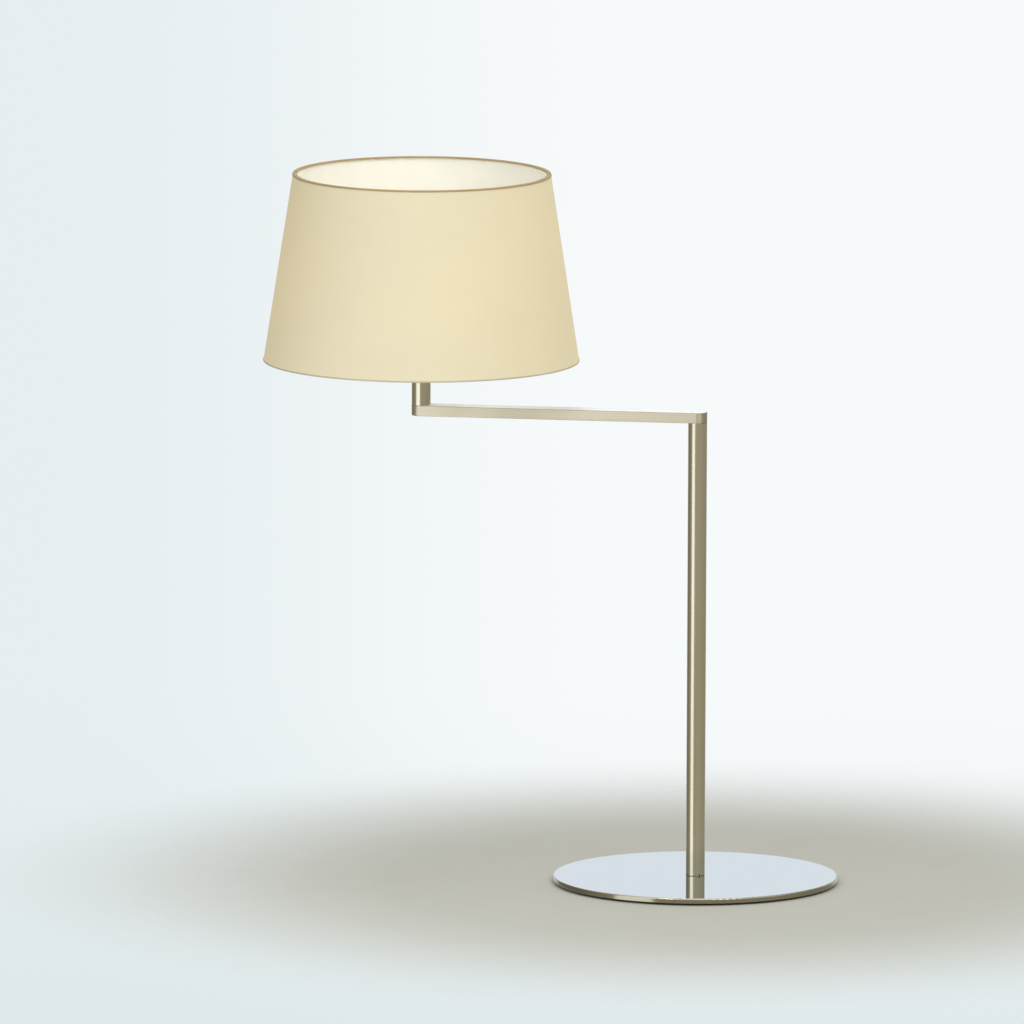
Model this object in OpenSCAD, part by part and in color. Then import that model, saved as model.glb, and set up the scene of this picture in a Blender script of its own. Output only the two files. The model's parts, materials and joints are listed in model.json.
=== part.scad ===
// Swing-arm table lamp. A round plate carries a straight pole, a flat arm turns on top of the
// pole, and a tapered drum shade turns on the arm's far end. Millimetres, +Z up. The origin is
// the centre of the base's underside, on the pole's axis, and the arm lies along -X.

/* [Base] */
// Diameter of the round base plate
base_d = 270; // [220:1:340]
// Thickness of the base plate
base_t = 5; // [5:0.5:8]
// Radius that rounds the plate's top edge
base_edge_r = 1.2; // [0.4:0.1:2]
// How far the pad under the plate stays in from the plate's edge
pad_inset = 8; // [4:1:20]
// Thickness of the pad
pad_t = 2; // [1:0.5:3]

/* [Tube] */
// Outer diameter of the pole and the stem, and the width of the arm
tube_d = 18; // [18:0.5:24]
// Wall of the pole and the stem
tube_wall = 1.5; // [1:0.1:1.5]
// Length of the pole
pole_h = 433.5; // [300:0.5:600]
// Height of the cord inlet above the plate
inlet_h = 20; // [20:1:60]
// Diameter of the cord that the inlet takes
cord_d = 6; // [4:0.1:6]

/* [Arm] */
// Distance from the pole's axis to the stem's axis
arm_reach = 265; // [180:1:360]
// Height of the arm
arm_h = 10; // [10:0.5:14]
// Chamfer along the arm's edges
arm_edge = 0.4; // [0.2:0.1:0.6]
// Thickness of the cover that closes the arm from below
cover_t = 1.5; // [1:0.1:1.5]
// How far each joint turns to either side
turn_limit = 160; // [90:1:160]

/* [Joints] */
// Diameter of the hollow pivot bolts
pivot_d = 10; // [9:0.5:10]
// Bore through the pivot bolts, for the wires
pivot_bore_d = 7; // [6:0.1:7]
// Thickness of the friction washers
washer_t = 0.5; // [0.4:0.1:1]
// Diameter of the stop pins
stop_pin_d = 1.5; // [1:0.1:1.5]

/* [Shade] */
// Outer diameter of the shade's lower edge
shade_bottom_d = 300; // [220:1:360]
// Outer diameter of the shade's upper edge
shade_top_d = 245; // [160:1:300]
// Height of the shade
shade_h = 178.5; // [140:0.5:240]
// Height of the shade's lower edge above the arm
shade_gap = 42.5; // [30:0.5:80]
// Height of the frame's centre ring above the shade's lower edge
frame_rise = 45; // [25:1:60]
// Thickness of the cloth
cloth_t = 0.6; // [0.4:0.1:1]
// Thickness of the lining behind the cloth
lining_t = 0.5; // [0.3:0.1:1]
// Thickness of the tape that is folded over the shade's edges
tape_t = 0.4; // [0.3:0.1:0.8]
// Height of the tape on the outside of the shade
tape_h = 1.5; // [1.2:0.1:8]
// Diameter of the frame's wire
wire_ring_d = 2.2; // [2:0.1:4]
// Number of spokes in the frame
spokes = 3; // [3:1:4]

/* [Lampholder and bulb] */
// Outer diameter of the lampholder's threaded skirt
holder_d = 39; // [36:0.5:42]
// Diameter of the bulb
bulb_d = 60; // [45:1:70]
// Height of the bulb above the lampholder's rim
bulb_h = 79; // [60:1:90]

/* [Hidden] */

$fn = 96;
hex = 6;
sheet_sides = 180;
wire_sides = 24;
// Overshoot that lets a cut pass cleanly through a face
eps = 0.1;
// Radial gap between pieces of one body that are pressed, brazed or screwed together
seat_gap = 0.02;
// Radial gap of the turning pivots
run_gap = 0.05;
// Gap between pieces that pass each other without bearing
pass_gap = 0.4;
// Gap on each side of the stop pins in their grooves
stop_gap = 0.15;

tube_r = tube_d / 2;
bore_r = tube_r - tube_wall;
plug_r = bore_r - seat_gap;
pivot_r = pivot_d / 2;
pivot_bore_r = pivot_bore_d / 2;
stop_pin_r = stop_pin_d / 2;
stop_r = (pivot_r + bore_r) / 2;
stop_depth = 1.5;
groove_floor_gap = 0.3;
stop_groove_depth = stop_depth + groove_floor_gap;

// Levels, from the floor up
plate_z = pad_t;
plate_top_z = plate_z + base_t;
pole_top_z = plate_top_z + pole_h;
arm_z = pole_top_z + washer_t;
arm_top_z = arm_z + arm_h;
stem_z = arm_top_z + washer_t;
shade_z = arm_top_z + shade_gap;
shade_top_z = shade_z + shade_h;
frame_z = shade_z + frame_rise;

// Foot of the pole
foot_plug_h = 12;
foot_screw_r = 4;
foot_screw_head_r = 8;
foot_screw_head_h = 4;
foot_screw_sink = 0.3;
foot_screw_gap = 0.2;
foot_screw_reach = 10;
foot_socket_r = 2.9;
foot_socket_depth = 2.5;
foot_pin_r = 0.8;
foot_pin_h = 1.4;
foot_pin_depth = 2.5;
foot_pin_inset = 1.2;
foot_pin_at_r = tube_r - foot_pin_inset;
foot_pin_angle = -60;
foot_notch_w = 2;
foot_notch_h = 1.8;
foot_notch_room = 0.2;
base_lower_edge = 0.5;

// Cord inlet
inlet_z = plate_top_z + inlet_h;
cord_room = 0.1;
inlet_bore_r = cord_d / 2 + cord_room;
bush_wall = 1.8;
bush_r = inlet_bore_r + bush_wall;
bush_lip = 1.2;
bush_flange_r = bush_r + bush_lip;
bush_out = 2;
bush_in = 1;
lead_start_in = 0.5;
inlet_hole_r = bush_r + seat_gap;

// Top of the pole
top_plug_h = 20;
plug_screw_r = 2;
plug_screw_drop = 10;
plug_screw_sink = 0.3;
plug_screw_socket_r = 1.1;
plug_screw_socket_depth = 1.5;

// Pivot bolts
flange_room = 0.5;
flange_r = bore_r - flange_room;
flange_t = 2;
spanner_slot_w = 1.6;
spanner_slot_depth = 0.8;
disc_spring_h = 1;
disc_spring_t = 0.4;
disc_spring_room = 0.3;
disc_spring_inset = 0.2;
disc_spring_in_r = pivot_r + disc_spring_room;
disc_spring_out_r = flange_r - disc_spring_inset;
washer_inset = 0.15;
washer_room = 0.2;
washer_pin_room = 0.1;
arm_thread_h = 4;
plug_thread_h = 10;
pole_flange_z = pole_top_z - top_plug_h - disc_spring_h - flange_t;
stem_ceiling_t = 3.5;
arm_ceiling_z = arm_top_z - stem_ceiling_t;
stem_flange_z = arm_ceiling_z - disc_spring_h - flange_t;

// Arm
cover_gap = 0.1;
cover_lip = 1.2;
cover_rebate_r = tube_r - cover_lip;
channel_wall = 3.5;
channel_r = tube_r - channel_wall;
pocket_r = flange_r + pass_gap;
block_wall = 2;
block_x = tube_r + block_wall;
wire_slot_w = 5;
cover_screw_r = 1.25;
cover_screw_head_r = 2.35;
cover_screw_head_h = 1.2;
cover_screw_l = 5;
cover_screw_tip_room = 0.5;
cover_boss_r = 2.6;
cover_screw_socket_r = 0.8;
cover_screw_socket_depth = 0.8;
// Places of the cover's screws, as parts of the arm's reach
cover_screw_at = [0.23, 0.77];
cover_screw_x = [for (part = cover_screw_at) -arm_reach * part];

// Stem and lampholder
holder_drop = 26.5;
stem_top_z = frame_z - holder_drop;
stem_foot_plug_h = 16;
stem_top_plug_h = 12;
nipple_below = 9;
nipple_above = 5;
holder_r = holder_d / 2;
holder_wall = 2;
neck_r = tube_r;
neck_h = 4;
dome_h = 15;
dome_edge = 3;
cap_h = 22;
cap_top_z = stem_top_z + cap_h;
insert_room = 1;
insert_r = holder_r - holder_wall - insert_room;
insert_rise = 17;
insert_z = stem_top_z + insert_rise;
insert_h = 10;
insert_hole_room = 0.2;
shoulder_step = 3;
shoulder_r = holder_r + shoulder_step;
shoulder_t = 2.5;
holder_h = 54;
shell_top_z = stem_top_z + holder_h;
shell_insert_room = 0.2;
shell_thread_room = 0.1;
screw_shell_r = 14.2;
screw_shell_t = 0.5;
screw_shell_lift = 1;
screw_shell_z = insert_z + insert_h + screw_shell_lift;
screw_shell_h = 20;
contact_r = 3.5;
contact_t = 0.8;
terminal_size = [5, 4, 4.5];
terminal_y = 7.5;
terminal_screw_r = 1.2;
terminal_screw_h = 2.2;
terminal_screw_out = 1;
thread_pitch_h = 3;
thread_depth = 0.6;

// Shade
// Gap between the folded tape and what lies in the fold
tape_gap = 0.05;
tape_notch_room = 0.2;
// Room between the lining and the wires
wire_gap = 0.1;
wire_r = wire_ring_d / 2;
centre_ring_room = 0.5;
centre_ring_edge = 7;
centre_ring_in_r = holder_r + centre_ring_room;
centre_ring_out_r = holder_r + centre_ring_edge;
spoke_r = 1.25;
spoke_overlap = 1;
spoke_weld_gap = 0.05;
centre_ring_t = 2 * spoke_r;
ring_flange = 8;
ring_out_r = holder_r + ring_flange;
ring_collar = 3;
ring_h = 9;
ring_flange_h = 3;
ring_gap = 0.15;
first_spoke = 60;
slope = (shade_bottom_d - shade_top_d) / 2 / shade_h;
function shade_r(z) = shade_bottom_d / 2 - (z - shade_z) * slope;
lining_r_in = cloth_t + lining_t;
edge_in = tape_t + tape_gap;
bottom_wire_z = shade_z + tape_t + wire_r + tape_gap;
top_wire_z = shade_top_z - tape_t - wire_r - tape_gap;
wire_lean = wire_r * (sqrt(1 + slope * slope) - 1) + wire_gap;
function wire_ring_r(z) = shade_r(z) - tape_t - lining_r_in - wire_r - wire_lean;

// Bulb
bulb_cap_r = 13.1;
bulb_cap_h = 22;
bulb_wall = 0.8;
bulb_neck_r = 12.6;
bulb_r = bulb_d / 2;
bulb_top_z = shell_top_z + bulb_h;
bulb_mid_z = bulb_top_z - bulb_r;
bulb_insulator_h = 3;
bulb_tip_r = 4.5;
bulb_tip_h = 1.2;
bulb_taper = 1;
bulb_neck_h = 2;
// Lowest angle of the ball's curve, and the steps along the ball and the neck
bulb_waist_angle = -40;
bulb_ball_step = 10;
bulb_neck_step = 0.25;
bulb_tip_z = insert_z + insert_h + contact_t;
bulb_insulator_z = bulb_tip_z + bulb_tip_h;
bulb_cap_z = bulb_insulator_z + bulb_insulator_h;
bulb_seat_z = bulb_cap_z + bulb_cap_h;

// Wires
lead_r = 0.9;
lead_pitch = 2.2;
lead_sides = 8;
lead_bend = 3;
lead_room = 0.1;
lead_spread = channel_r - lead_r - pass_gap;
lead_low_z = arm_z + cover_t + lead_r + lead_room;
lead_high_z = arm_ceiling_z - lead_r - lead_room;
arc_steps = 6;
// Way of the leads in the arm: distance from the solid end, share of the spread, and drop
lead_near_way = [[3, 0, 0], [10, 0.6, 0.5], [20, 1, 1]];
// Distance from the stem's axis, and share of the spread
lead_far_way = [[40, 1], [25, 0.7], [12, 0]];

// Colours
satin_nickel = "#b8ad93";
mirror_nickel = "#d5dde0";
bright_steel = "#9c9a94";
brass = "#c9a24b";
black_felt = "#26262a";
black_nylon = "#2c2b29";
white_plastic = "#ece9e0";
white_ceramic = "#f3f0e8";
lead_red = "#b5483a";
cream_cloth = "#e6dcb8";
white_lining = "#faf6e6";
tan_tape = "#b59c66";
white_wire = "#e4e2da";
frosted_glass = "#fdf4d8";

// ---- Shared shapes ----

module round_bar(r, h) {
    cylinder(r = r, h = h);
}

module round_tube(r_out, r_in, h) {
    difference() {
        cylinder(r = r_out, h = h);
        translate([0, 0, -eps]) cylinder(r = r_in, h = h + 2 * eps);
    }
}

module at_stem() {
    translate([-arm_reach, 0, 0]) children();
}

module bar_end(r, h, c) {
    rotate_extrude() polygon([[0, 0], [r - c, 0], [r, c], [r, h - c], [r - c, h], [0, h]]);
}

// A flat bar from the pole's axis to the stem's, with full-round ends and chamfered edges
module full_round_bar(r, h, c) {
    bar_end(r, h, c);
    at_stem() bar_end(r, h, c);
    section = [[-r, c], [c - r, 0], [r - c, 0], [r, c], [r, h - c], [r - c, h], [c - r, h], [-r, h - c]];
    rotate([90, 0, -90]) linear_extrude(arm_reach) polygon(section);
}

// A bolt with a flange at its foot and a bore for the wires
module hollow_bolt(shank_h) {
    difference() {
        union() {
            cylinder(r = flange_r, h = flange_t);
            cylinder(r = pivot_r, h = flange_t + shank_h);
        }
        translate([0, 0, -eps]) cylinder(r = pivot_bore_r, h = flange_t + shank_h + 2 * eps);
        translate([-flange_r - eps, -spanner_slot_w / 2, -eps])
            cube([2 * (flange_r + eps), spanner_slot_w, spanner_slot_depth + eps]);
    }
}

// A coned washer that keeps the joint pressed together
module disc_spring() {
    low = disc_spring_h - disc_spring_t;
    rotate_extrude() polygon([
        [disc_spring_in_r, low], [disc_spring_out_r, 0],
        [disc_spring_out_r, disc_spring_t], [disc_spring_in_r, disc_spring_h]
    ]);
}

// A thin ring under a joint, with a hole that the stop pin passes through
module friction_washer(pin_angle) {
    difference() {
        round_tube(tube_r - washer_inset, pivot_r + washer_room, washer_t);
        rotate([0, 0, pin_angle]) translate([stop_r, 0, -eps])
            cylinder(r = stop_pin_r + washer_pin_room, h = washer_t + 2 * eps);
    }
}

// The groove that a stop pin runs in; its uncut part faces away from the pin at rest
module stop_groove(pin_angle) {
    half_w = stop_pin_r + stop_gap;
    rotate([0, 0, pin_angle - turn_limit]) rotate_extrude(angle = 2 * turn_limit)
        translate([stop_r - half_w, 0]) square([2 * half_w, stop_groove_depth + eps]);
    for (side = [-1, 1]) rotate([0, 0, pin_angle + side * turn_limit]) translate([stop_r, 0, 0])
        cylinder(r = half_w, h = stop_groove_depth + eps);
}

function unit(v) = v / norm(v);
function heading(path, i) = unit(path[min(i + 1, len(path) - 1)] - path[max(i - 1, 0)]);

// A lead that follows a path; across is a direction that the path never takes
module lead(path, across) {
    n = len(path);
    rings = [for (i = [0 : n - 1])
        let (t = heading(path, i), u = unit(cross(across, t)), v = cross(t, u))
        for (k = [0 : lead_sides - 1])
        let (a = 360 * k / lead_sides)
        path[i] + lead_r * (cos(a) * u + sin(a) * v)];
    walls = [for (i = [0 : n - 2], k = [0 : lead_sides - 1])
        let (j = (k + 1) % lead_sides, a = i * lead_sides, b = a + lead_sides)
        [a + k, b + k, b + j, a + j]];
    first = [[for (k = [0 : lead_sides - 1]) k]];
    last = [[for (k = [lead_sides - 1 : -1 : 0]) (n - 1) * lead_sides + k]];
    polyhedron(points = rings, faces = concat(first, walls, last));
}

// ---- Base and pole ----

module base_plate() {
    r = base_d / 2;
    e = base_edge_r;
    c = base_lower_edge;
    color(mirror_nickel) translate([0, 0, plate_z]) difference() {
        rotate_extrude() union() {
            polygon([[0, 0], [r - c, 0], [r, c], [r, base_t - e], [r - e, base_t], [0, base_t]]);
            translate([r - e, base_t - e]) circle(r = e);
        }
        translate([0, 0, -eps]) cylinder(r = foot_screw_r + foot_screw_gap, h = base_t + 2 * eps);
        translate([0, 0, -eps]) cylinder(r = foot_screw_head_r + foot_screw_gap, h = foot_screw_sink + eps);
        translate([0, 0, foot_screw_sink]) cylinder(
            r1 = foot_screw_head_r + foot_screw_gap, r2 = foot_screw_r + foot_screw_gap,
            h = foot_screw_head_h);
        rotate([0, 0, foot_pin_angle]) translate([foot_pin_at_r, 0, base_t - foot_pin_depth])
            cylinder(r = foot_pin_r + seat_gap, h = foot_pin_depth + eps);
    }
}

module base_pad() {
    color(black_felt) round_bar(base_d / 2 - pad_inset, pad_t);
}

module foot_screw() {
    color(bright_steel) translate([0, 0, plate_z + foot_screw_sink]) difference() {
        union() {
            cylinder(r1 = foot_screw_head_r, r2 = foot_screw_r, h = foot_screw_head_h);
            cylinder(r = foot_screw_r, h = base_t - foot_screw_sink + foot_screw_reach);
        }
        translate([0, 0, -eps]) cylinder(r = foot_socket_r, h = foot_socket_depth + eps, $fn = hex);
    }
}

module foot_pin() {
    color(bright_steel) rotate([0, 0, foot_pin_angle])
        translate([foot_pin_at_r, 0, plate_top_z - foot_pin_depth])
        round_bar(foot_pin_r, foot_pin_depth + foot_pin_h);
}

// The notch in the pole's foot that drops over the locating pin
module foot_notch() {
    rotate([0, 0, foot_pin_angle])
        translate([foot_pin_at_r - foot_pin_r - foot_notch_room, -foot_notch_w / 2, plate_top_z - eps])
        cube([tube_r, foot_notch_w, foot_notch_h + eps]);
}

module plug_screw_hole() {
    translate([0, pivot_r, pole_top_z - plug_screw_drop]) rotate([-90, 0, 0])
        cylinder(r = plug_screw_r + seat_gap, h = tube_r);
}

module pole_tube() {
    color(satin_nickel) difference() {
        translate([0, 0, plate_top_z]) round_tube(tube_r, bore_r, pole_h);
        foot_notch();
        translate([0, 0, inlet_z]) rotate([-90, 0, 0]) cylinder(r = inlet_hole_r, h = tube_r + eps);
        plug_screw_hole();
    }
}

module pole_foot_plug() {
    color(bright_steel) difference() {
        translate([0, 0, plate_top_z]) round_tube(plug_r, foot_screw_r + seat_gap, foot_plug_h);
        foot_notch();
    }
}

// A saddle-backed bush that keeps the cord off the tube's edge
module cord_bush() {
    color(black_nylon) translate([0, 0, inlet_z]) difference() {
        union() {
            translate([0, bore_r - bush_in, 0]) rotate([-90, 0, 0])
                cylinder(r = bush_r, h = tube_wall + bush_in + bush_out);
            difference() {
                translate([0, bore_r, 0]) rotate([-90, 0, 0])
                    cylinder(r = bush_flange_r, h = tube_wall + bush_out);
                translate([0, 0, -2 * bush_flange_r]) cylinder(r = tube_r + seat_gap, h = 4 * bush_flange_r);
            }
        }
        rotate([-90, 0, 0]) cylinder(r = inlet_bore_r, h = tube_r + bush_out + eps);
    }
}

module pole_top_plug() {
    color(bright_steel) difference() {
        translate([0, 0, pole_top_z - top_plug_h]) round_tube(plug_r, pivot_r + run_gap, top_plug_h);
        translate([-stop_r, 0, pole_top_z - 2 * stop_depth])
            cylinder(r = stop_pin_r + seat_gap, h = 2 * stop_depth + eps);
        plug_screw_hole();
    }
}

module plug_screw() {
    from_y = pivot_r + pass_gap;
    to_y = tube_r - plug_screw_sink;
    color(bright_steel) translate([0, 0, pole_top_z - plug_screw_drop]) rotate([-90, 0, 0]) difference() {
        translate([0, 0, from_y]) cylinder(r = plug_screw_r, h = to_y - from_y);
        translate([0, 0, to_y - plug_screw_socket_depth])
            cylinder(r = plug_screw_socket_r, h = plug_screw_socket_depth + eps, $fn = hex);
    }
}

module pole_stop_pin() {
    color(bright_steel) translate([-stop_r, 0, pole_top_z - 2 * stop_depth])
        round_bar(stop_pin_r, 2 * stop_depth + washer_t + stop_depth);
}

module pole_washer() {
    color(bright_steel) translate([0, 0, pole_top_z]) friction_washer(180);
}

// Two leads, in at the bush one above the other, then up the pole side by side
module pole_wires() {
    start_y = bore_r - bush_in - lead_start_in;
    bend_y = lead_pitch / 2 + lead_bend;
    bend_z = inlet_z + lead_pitch / 2 + lead_bend;
    color(lead_red) for (side = [-1, 1]) {
        r = lead_bend + (1 - side) * lead_pitch / 2;
        turn = [for (i = [0 : arc_steps]) let (a = -90 - 90 * i / arc_steps)
            [0, bend_y + r * cos(a), bend_z + r * sin(a)]];
        up = [0, bend_y - r, pole_flange_z - washer_t];
        lead(concat([[0, start_y, bend_z - r]], turn, [up]), [1, 0, 0]);
    }
}

// ---- Arm ----

module cover_outline(r) {
    translate([-arm_reach, 0]) circle(r = r);
    translate([-arm_reach, -r]) square([arm_reach - block_x + r - cover_rebate_r, 2 * r]);
}

module arm_body() {
    channel_h = arm_ceiling_z - arm_z;
    color(satin_nickel) translate([0, 0, arm_z]) difference() {
        full_round_bar(tube_r, arm_h, arm_edge);
        // Rebate for the cover
        translate([0, 0, -eps]) linear_extrude(cover_t + eps) cover_outline(cover_rebate_r);
        // Channel for the wires, with a boss left round each cover screw
        difference() {
            translate([-arm_reach, -channel_r, -eps])
                cube([arm_reach - block_x, 2 * channel_r, channel_h + eps]);
            for (x = cover_screw_x) translate([x, 0, cover_t]) cylinder(r = cover_boss_r, h = channel_h);
        }
        for (x = cover_screw_x) translate([x, 0, 0])
            cylinder(r = cover_screw_r + seat_gap, h = cover_screw_l + cover_screw_tip_room);
        // Thread of the pivot bolt, and the way from it into the channel
        translate([0, 0, -eps]) cylinder(r = pivot_r + seat_gap, h = channel_h + eps);
        translate([-block_x - eps, -wire_slot_w / 2, -eps])
            cube([block_x + eps, wire_slot_w, channel_h + eps]);
        translate([0, 0, -eps]) stop_groove(180);
        // Pocket and bearing of the stem's pivot
        at_stem() translate([0, 0, -eps]) cylinder(r = pocket_r, h = channel_h + eps);
        at_stem() translate([0, 0, -eps]) cylinder(r = pivot_r + run_gap, h = arm_h + 2 * eps);
        at_stem() translate([0, 0, arm_h - stop_groove_depth]) stop_groove(0);
    }
}

module arm_cover() {
    color(satin_nickel) translate([0, 0, arm_z]) difference() {
        linear_extrude(cover_t) cover_outline(cover_rebate_r - cover_gap);
        for (x = cover_screw_x) translate([x, 0, 0]) {
            translate([0, 0, -eps]) cylinder(r = cover_screw_r + cover_gap, h = cover_t + 2 * eps);
            translate([0, 0, -eps]) cylinder(
                r1 = cover_screw_head_r + cover_gap, r2 = cover_screw_r + cover_gap,
                h = cover_screw_head_h + eps);
        }
    }
}

module cover_screws() {
    color(bright_steel) for (x = cover_screw_x) translate([x, 0, arm_z]) difference() {
        union() {
            cylinder(r1 = cover_screw_head_r, r2 = cover_screw_r, h = cover_screw_head_h);
            cylinder(r = cover_screw_r, h = cover_screw_l);
        }
        translate([0, 0, -eps])
            cylinder(r = cover_screw_socket_r, h = cover_screw_socket_depth + eps, $fn = hex);
    }
}

module arm_pivot() {
    color(bright_steel) translate([0, 0, pole_flange_z])
        hollow_bolt(disc_spring_h + top_plug_h + washer_t + arm_thread_h);
}

module pole_disc_spring() {
    color(bright_steel) translate([0, 0, pole_flange_z + flange_t]) disc_spring();
}

// Turns with the stem, because the stem's stop pin passes through it
module stem_washer() {
    color(bright_steel) at_stem() translate([0, 0, arm_top_z]) friction_washer(0);
}

// Up out of the pole, along the channel past both sides of the bosses, and up into the stem
module arm_wires() {
    far_x = -arm_reach;
    half = lead_pitch / 2;
    near_up = [for (i = [0 : arc_steps]) let (a = 90 * i / arc_steps)
        [lead_bend * (cos(a) - 1), half, lead_high_z - lead_bend + lead_bend * sin(a)]];
    far_up = [for (i = [0 : arc_steps]) let (a = -90 - 90 * i / arc_steps)
        [far_x + lead_bend + lead_bend * cos(a), half, lead_low_z + lead_bend + lead_bend * sin(a)]];
    side = lead_spread - half;
    near_run = [for (p = lead_near_way) [-block_x - p[0], half + side * p[1], lead_high_z - p[2]]];
    far_run = [for (p = lead_far_way) [far_x + p[0], half + side * p[1], lead_low_z]];
    path = concat([[0, half, pole_flange_z - washer_t]], near_up, near_run, far_run, far_up,
        [[far_x, half, stem_flange_z + flange_t + washer_t]]);
    color(lead_red) lead(path, [0, 1, 0]);
    color(lead_red) lead([for (p = path) [p[0], -p[1], p[2]]], [0, 1, 0]);
}

// ---- Stem and lampholder ----

module stem_tube() {
    color(satin_nickel) at_stem() translate([0, 0, stem_z]) round_tube(tube_r, bore_r, stem_top_z - stem_z);
}

module stem_foot_plug() {
    color(bright_steel) at_stem() translate([0, 0, stem_z]) difference() {
        round_tube(plug_r, pivot_r + seat_gap, stem_foot_plug_h);
        translate([stop_r, 0, -eps]) cylinder(r = stop_pin_r + seat_gap, h = 2 * stop_depth + eps);
    }
}

module stem_pivot() {
    color(bright_steel) at_stem() translate([0, 0, stem_flange_z])
        hollow_bolt(disc_spring_h + stem_ceiling_t + washer_t + plug_thread_h);
}

module stem_disc_spring() {
    color(bright_steel) at_stem() translate([0, 0, stem_flange_z + flange_t]) disc_spring();
}

module stem_stop_pin() {
    color(bright_steel) at_stem() translate([stop_r, 0, stem_z - washer_t - stop_depth])
        round_bar(stop_pin_r, stop_depth + washer_t + 2 * stop_depth);
}

module stem_top_plug() {
    color(bright_steel) at_stem() translate([0, 0, stem_top_z - stem_top_plug_h])
        round_tube(plug_r, pivot_r + seat_gap, stem_top_plug_h);
}

module holder_nipple() {
    color(brass) at_stem() translate([0, 0, stem_top_z - nipple_below])
        round_tube(pivot_r, pivot_bore_r, nipple_below + nipple_above);
}

module stem_wires() {
    half = lead_pitch / 2;
    start_z = stem_flange_z + flange_t + washer_t;
    spread_z = stem_top_z + nipple_above;
    end_z = insert_z - terminal_size[2];
    spread = [for (i = [0 : arc_steps]) let (t = i / arc_steps)
        [half + (terminal_y - half) * (1 - cos(180 * t)) / 2, spread_z + (end_z - spread_z) * t]];
    color(lead_red) for (side = [-1, 1]) lead(concat(
        [[-arm_reach, side * half, start_z]],
        [for (p = spread) [-arm_reach, side * p[0], p[1]]]
    ), [1, 0, 0]);
}

module holder_cap() {
    w = holder_wall;
    r = holder_r;
    color(white_plastic) at_stem() translate([0, 0, stem_top_z]) rotate_extrude() polygon([
        [pivot_r + seat_gap, 0], [neck_r, 0], [neck_r, neck_h], [r - dome_edge, dome_h - dome_edge],
        [r, dome_h], [r, cap_h], [r - w, cap_h], [r - w, dome_h + w / 4],
        [r - dome_edge - w, dome_h - w], [neck_r, neck_h + w], [pivot_r + seat_gap, neck_h + w]
    ]);
}

module holder_insert() {
    color(white_ceramic) at_stem() difference() {
        translate([0, 0, insert_z]) cylinder(r = insert_r, h = insert_h);
        for (side = [-1, 1]) translate([0, side * terminal_y, insert_z - eps])
            cylinder(r = terminal_screw_r + insert_hole_room, h = insert_h / 2);
    }
}

module holder_terminals() {
    color(brass) at_stem() for (side = [-1, 1]) difference() {
        translate([0, side * terminal_y, insert_z - terminal_size[2] / 2]) cube(terminal_size, center = true);
        translate([0, side * terminal_y, insert_z - terminal_size[2] - eps])
            cylinder(r = lead_r + lead_room, h = terminal_size[2] + 2 * eps);
        translate([0, side * terminal_y, insert_z - terminal_size[2] / 2]) rotate([0, 90, 0])
            cylinder(r = terminal_screw_r, h = terminal_size[0]);
    }
}

module terminal_screws() {
    out_x = terminal_size[0] / 2 + terminal_screw_out;
    color(bright_steel) at_stem() for (side = [-1, 1])
        translate([out_x - terminal_screw_h, side * terminal_y, insert_z - terminal_size[2] / 2])
        rotate([0, 90, 0]) cylinder(r = terminal_screw_r - seat_gap, h = terminal_screw_h);
}

// The skirt that the bulb screws into, with a thread outside for the shade's ring
module holder_shell() {
    h = shell_top_z - cap_top_z;
    seat = frame_z - cap_top_z;
    crests = floor((h - seat - thread_pitch_h) / thread_pitch_h);
    color(white_plastic) at_stem() translate([0, 0, cap_top_z]) difference() {
        union() {
            cylinder(r = holder_r - thread_depth, h = h);
            cylinder(r = holder_r, h = seat);
            translate([0, 0, seat - shoulder_t]) cylinder(r = shoulder_r, h = shoulder_t);
            for (i = [1 : crests]) translate([0, 0, seat + i * thread_pitch_h]) rotate_extrude() polygon([
                [holder_r - 2 * thread_depth, -2 * thread_depth], [holder_r, 0],
                [holder_r - 2 * thread_depth, 2 * thread_depth]
            ]);
        }
        translate([0, 0, -eps])
            cylinder(r = insert_r + shell_insert_room, h = insert_z + insert_h - cap_top_z + eps);
        cylinder(r = screw_shell_r + shell_thread_room, h = h + eps);
    }
}

module holder_thread() {
    color(brass) at_stem() translate([0, 0, screw_shell_z])
        round_tube(screw_shell_r, screw_shell_r - screw_shell_t, screw_shell_h);
}

module holder_contact() {
    color(brass) at_stem() translate([0, 0, insert_z + insert_h]) cylinder(r = contact_r, h = contact_t);
}

// ---- Shade ----

module shade_ring() {
    color(white_plastic) at_stem() translate([0, 0, frame_z + centre_ring_t]) difference() {
        union() {
            cylinder(r = ring_out_r, h = ring_flange_h);
            cylinder(r = holder_r + ring_collar, h = ring_h);
        }
        translate([0, 0, -eps]) cylinder(r = holder_r + ring_gap, h = ring_h + 2 * eps);
    }
}

module wire_ring(z, grow = 0) {
    translate([0, 0, z]) rotate_extrude($fn = sheet_sides) translate([wire_ring_r(z), 0])
        circle(r = wire_r + grow, $fn = wire_sides);
}

module spoke_rods(r) {
    from = [centre_ring_out_r - spoke_overlap, frame_z + centre_ring_t / 2];
    to = [wire_ring_r(bottom_wire_z), bottom_wire_z];
    run = to - from;
    for (i = [0 : spokes - 1]) rotate([0, 0, first_spoke + i * 360 / spokes])
        translate([from[0], 0, from[1]]) rotate([0, atan2(run[0], run[1]), 0])
        cylinder(r = r, h = norm(run), $fn = wire_sides);
}

// Centre ring and spokes, whose outer ends are welded to the lower wire ring
module shade_frame() {
    color(white_wire) at_stem() {
        translate([0, 0, frame_z]) round_tube(centre_ring_out_r, centre_ring_in_r, centre_ring_t);
        difference() {
            spoke_rods(spoke_r);
            wire_ring(bottom_wire_z, spoke_weld_gap);
        }
    }
}

module shade_bottom_wire() {
    color(white_wire) at_stem() wire_ring(bottom_wire_z);
}

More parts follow.
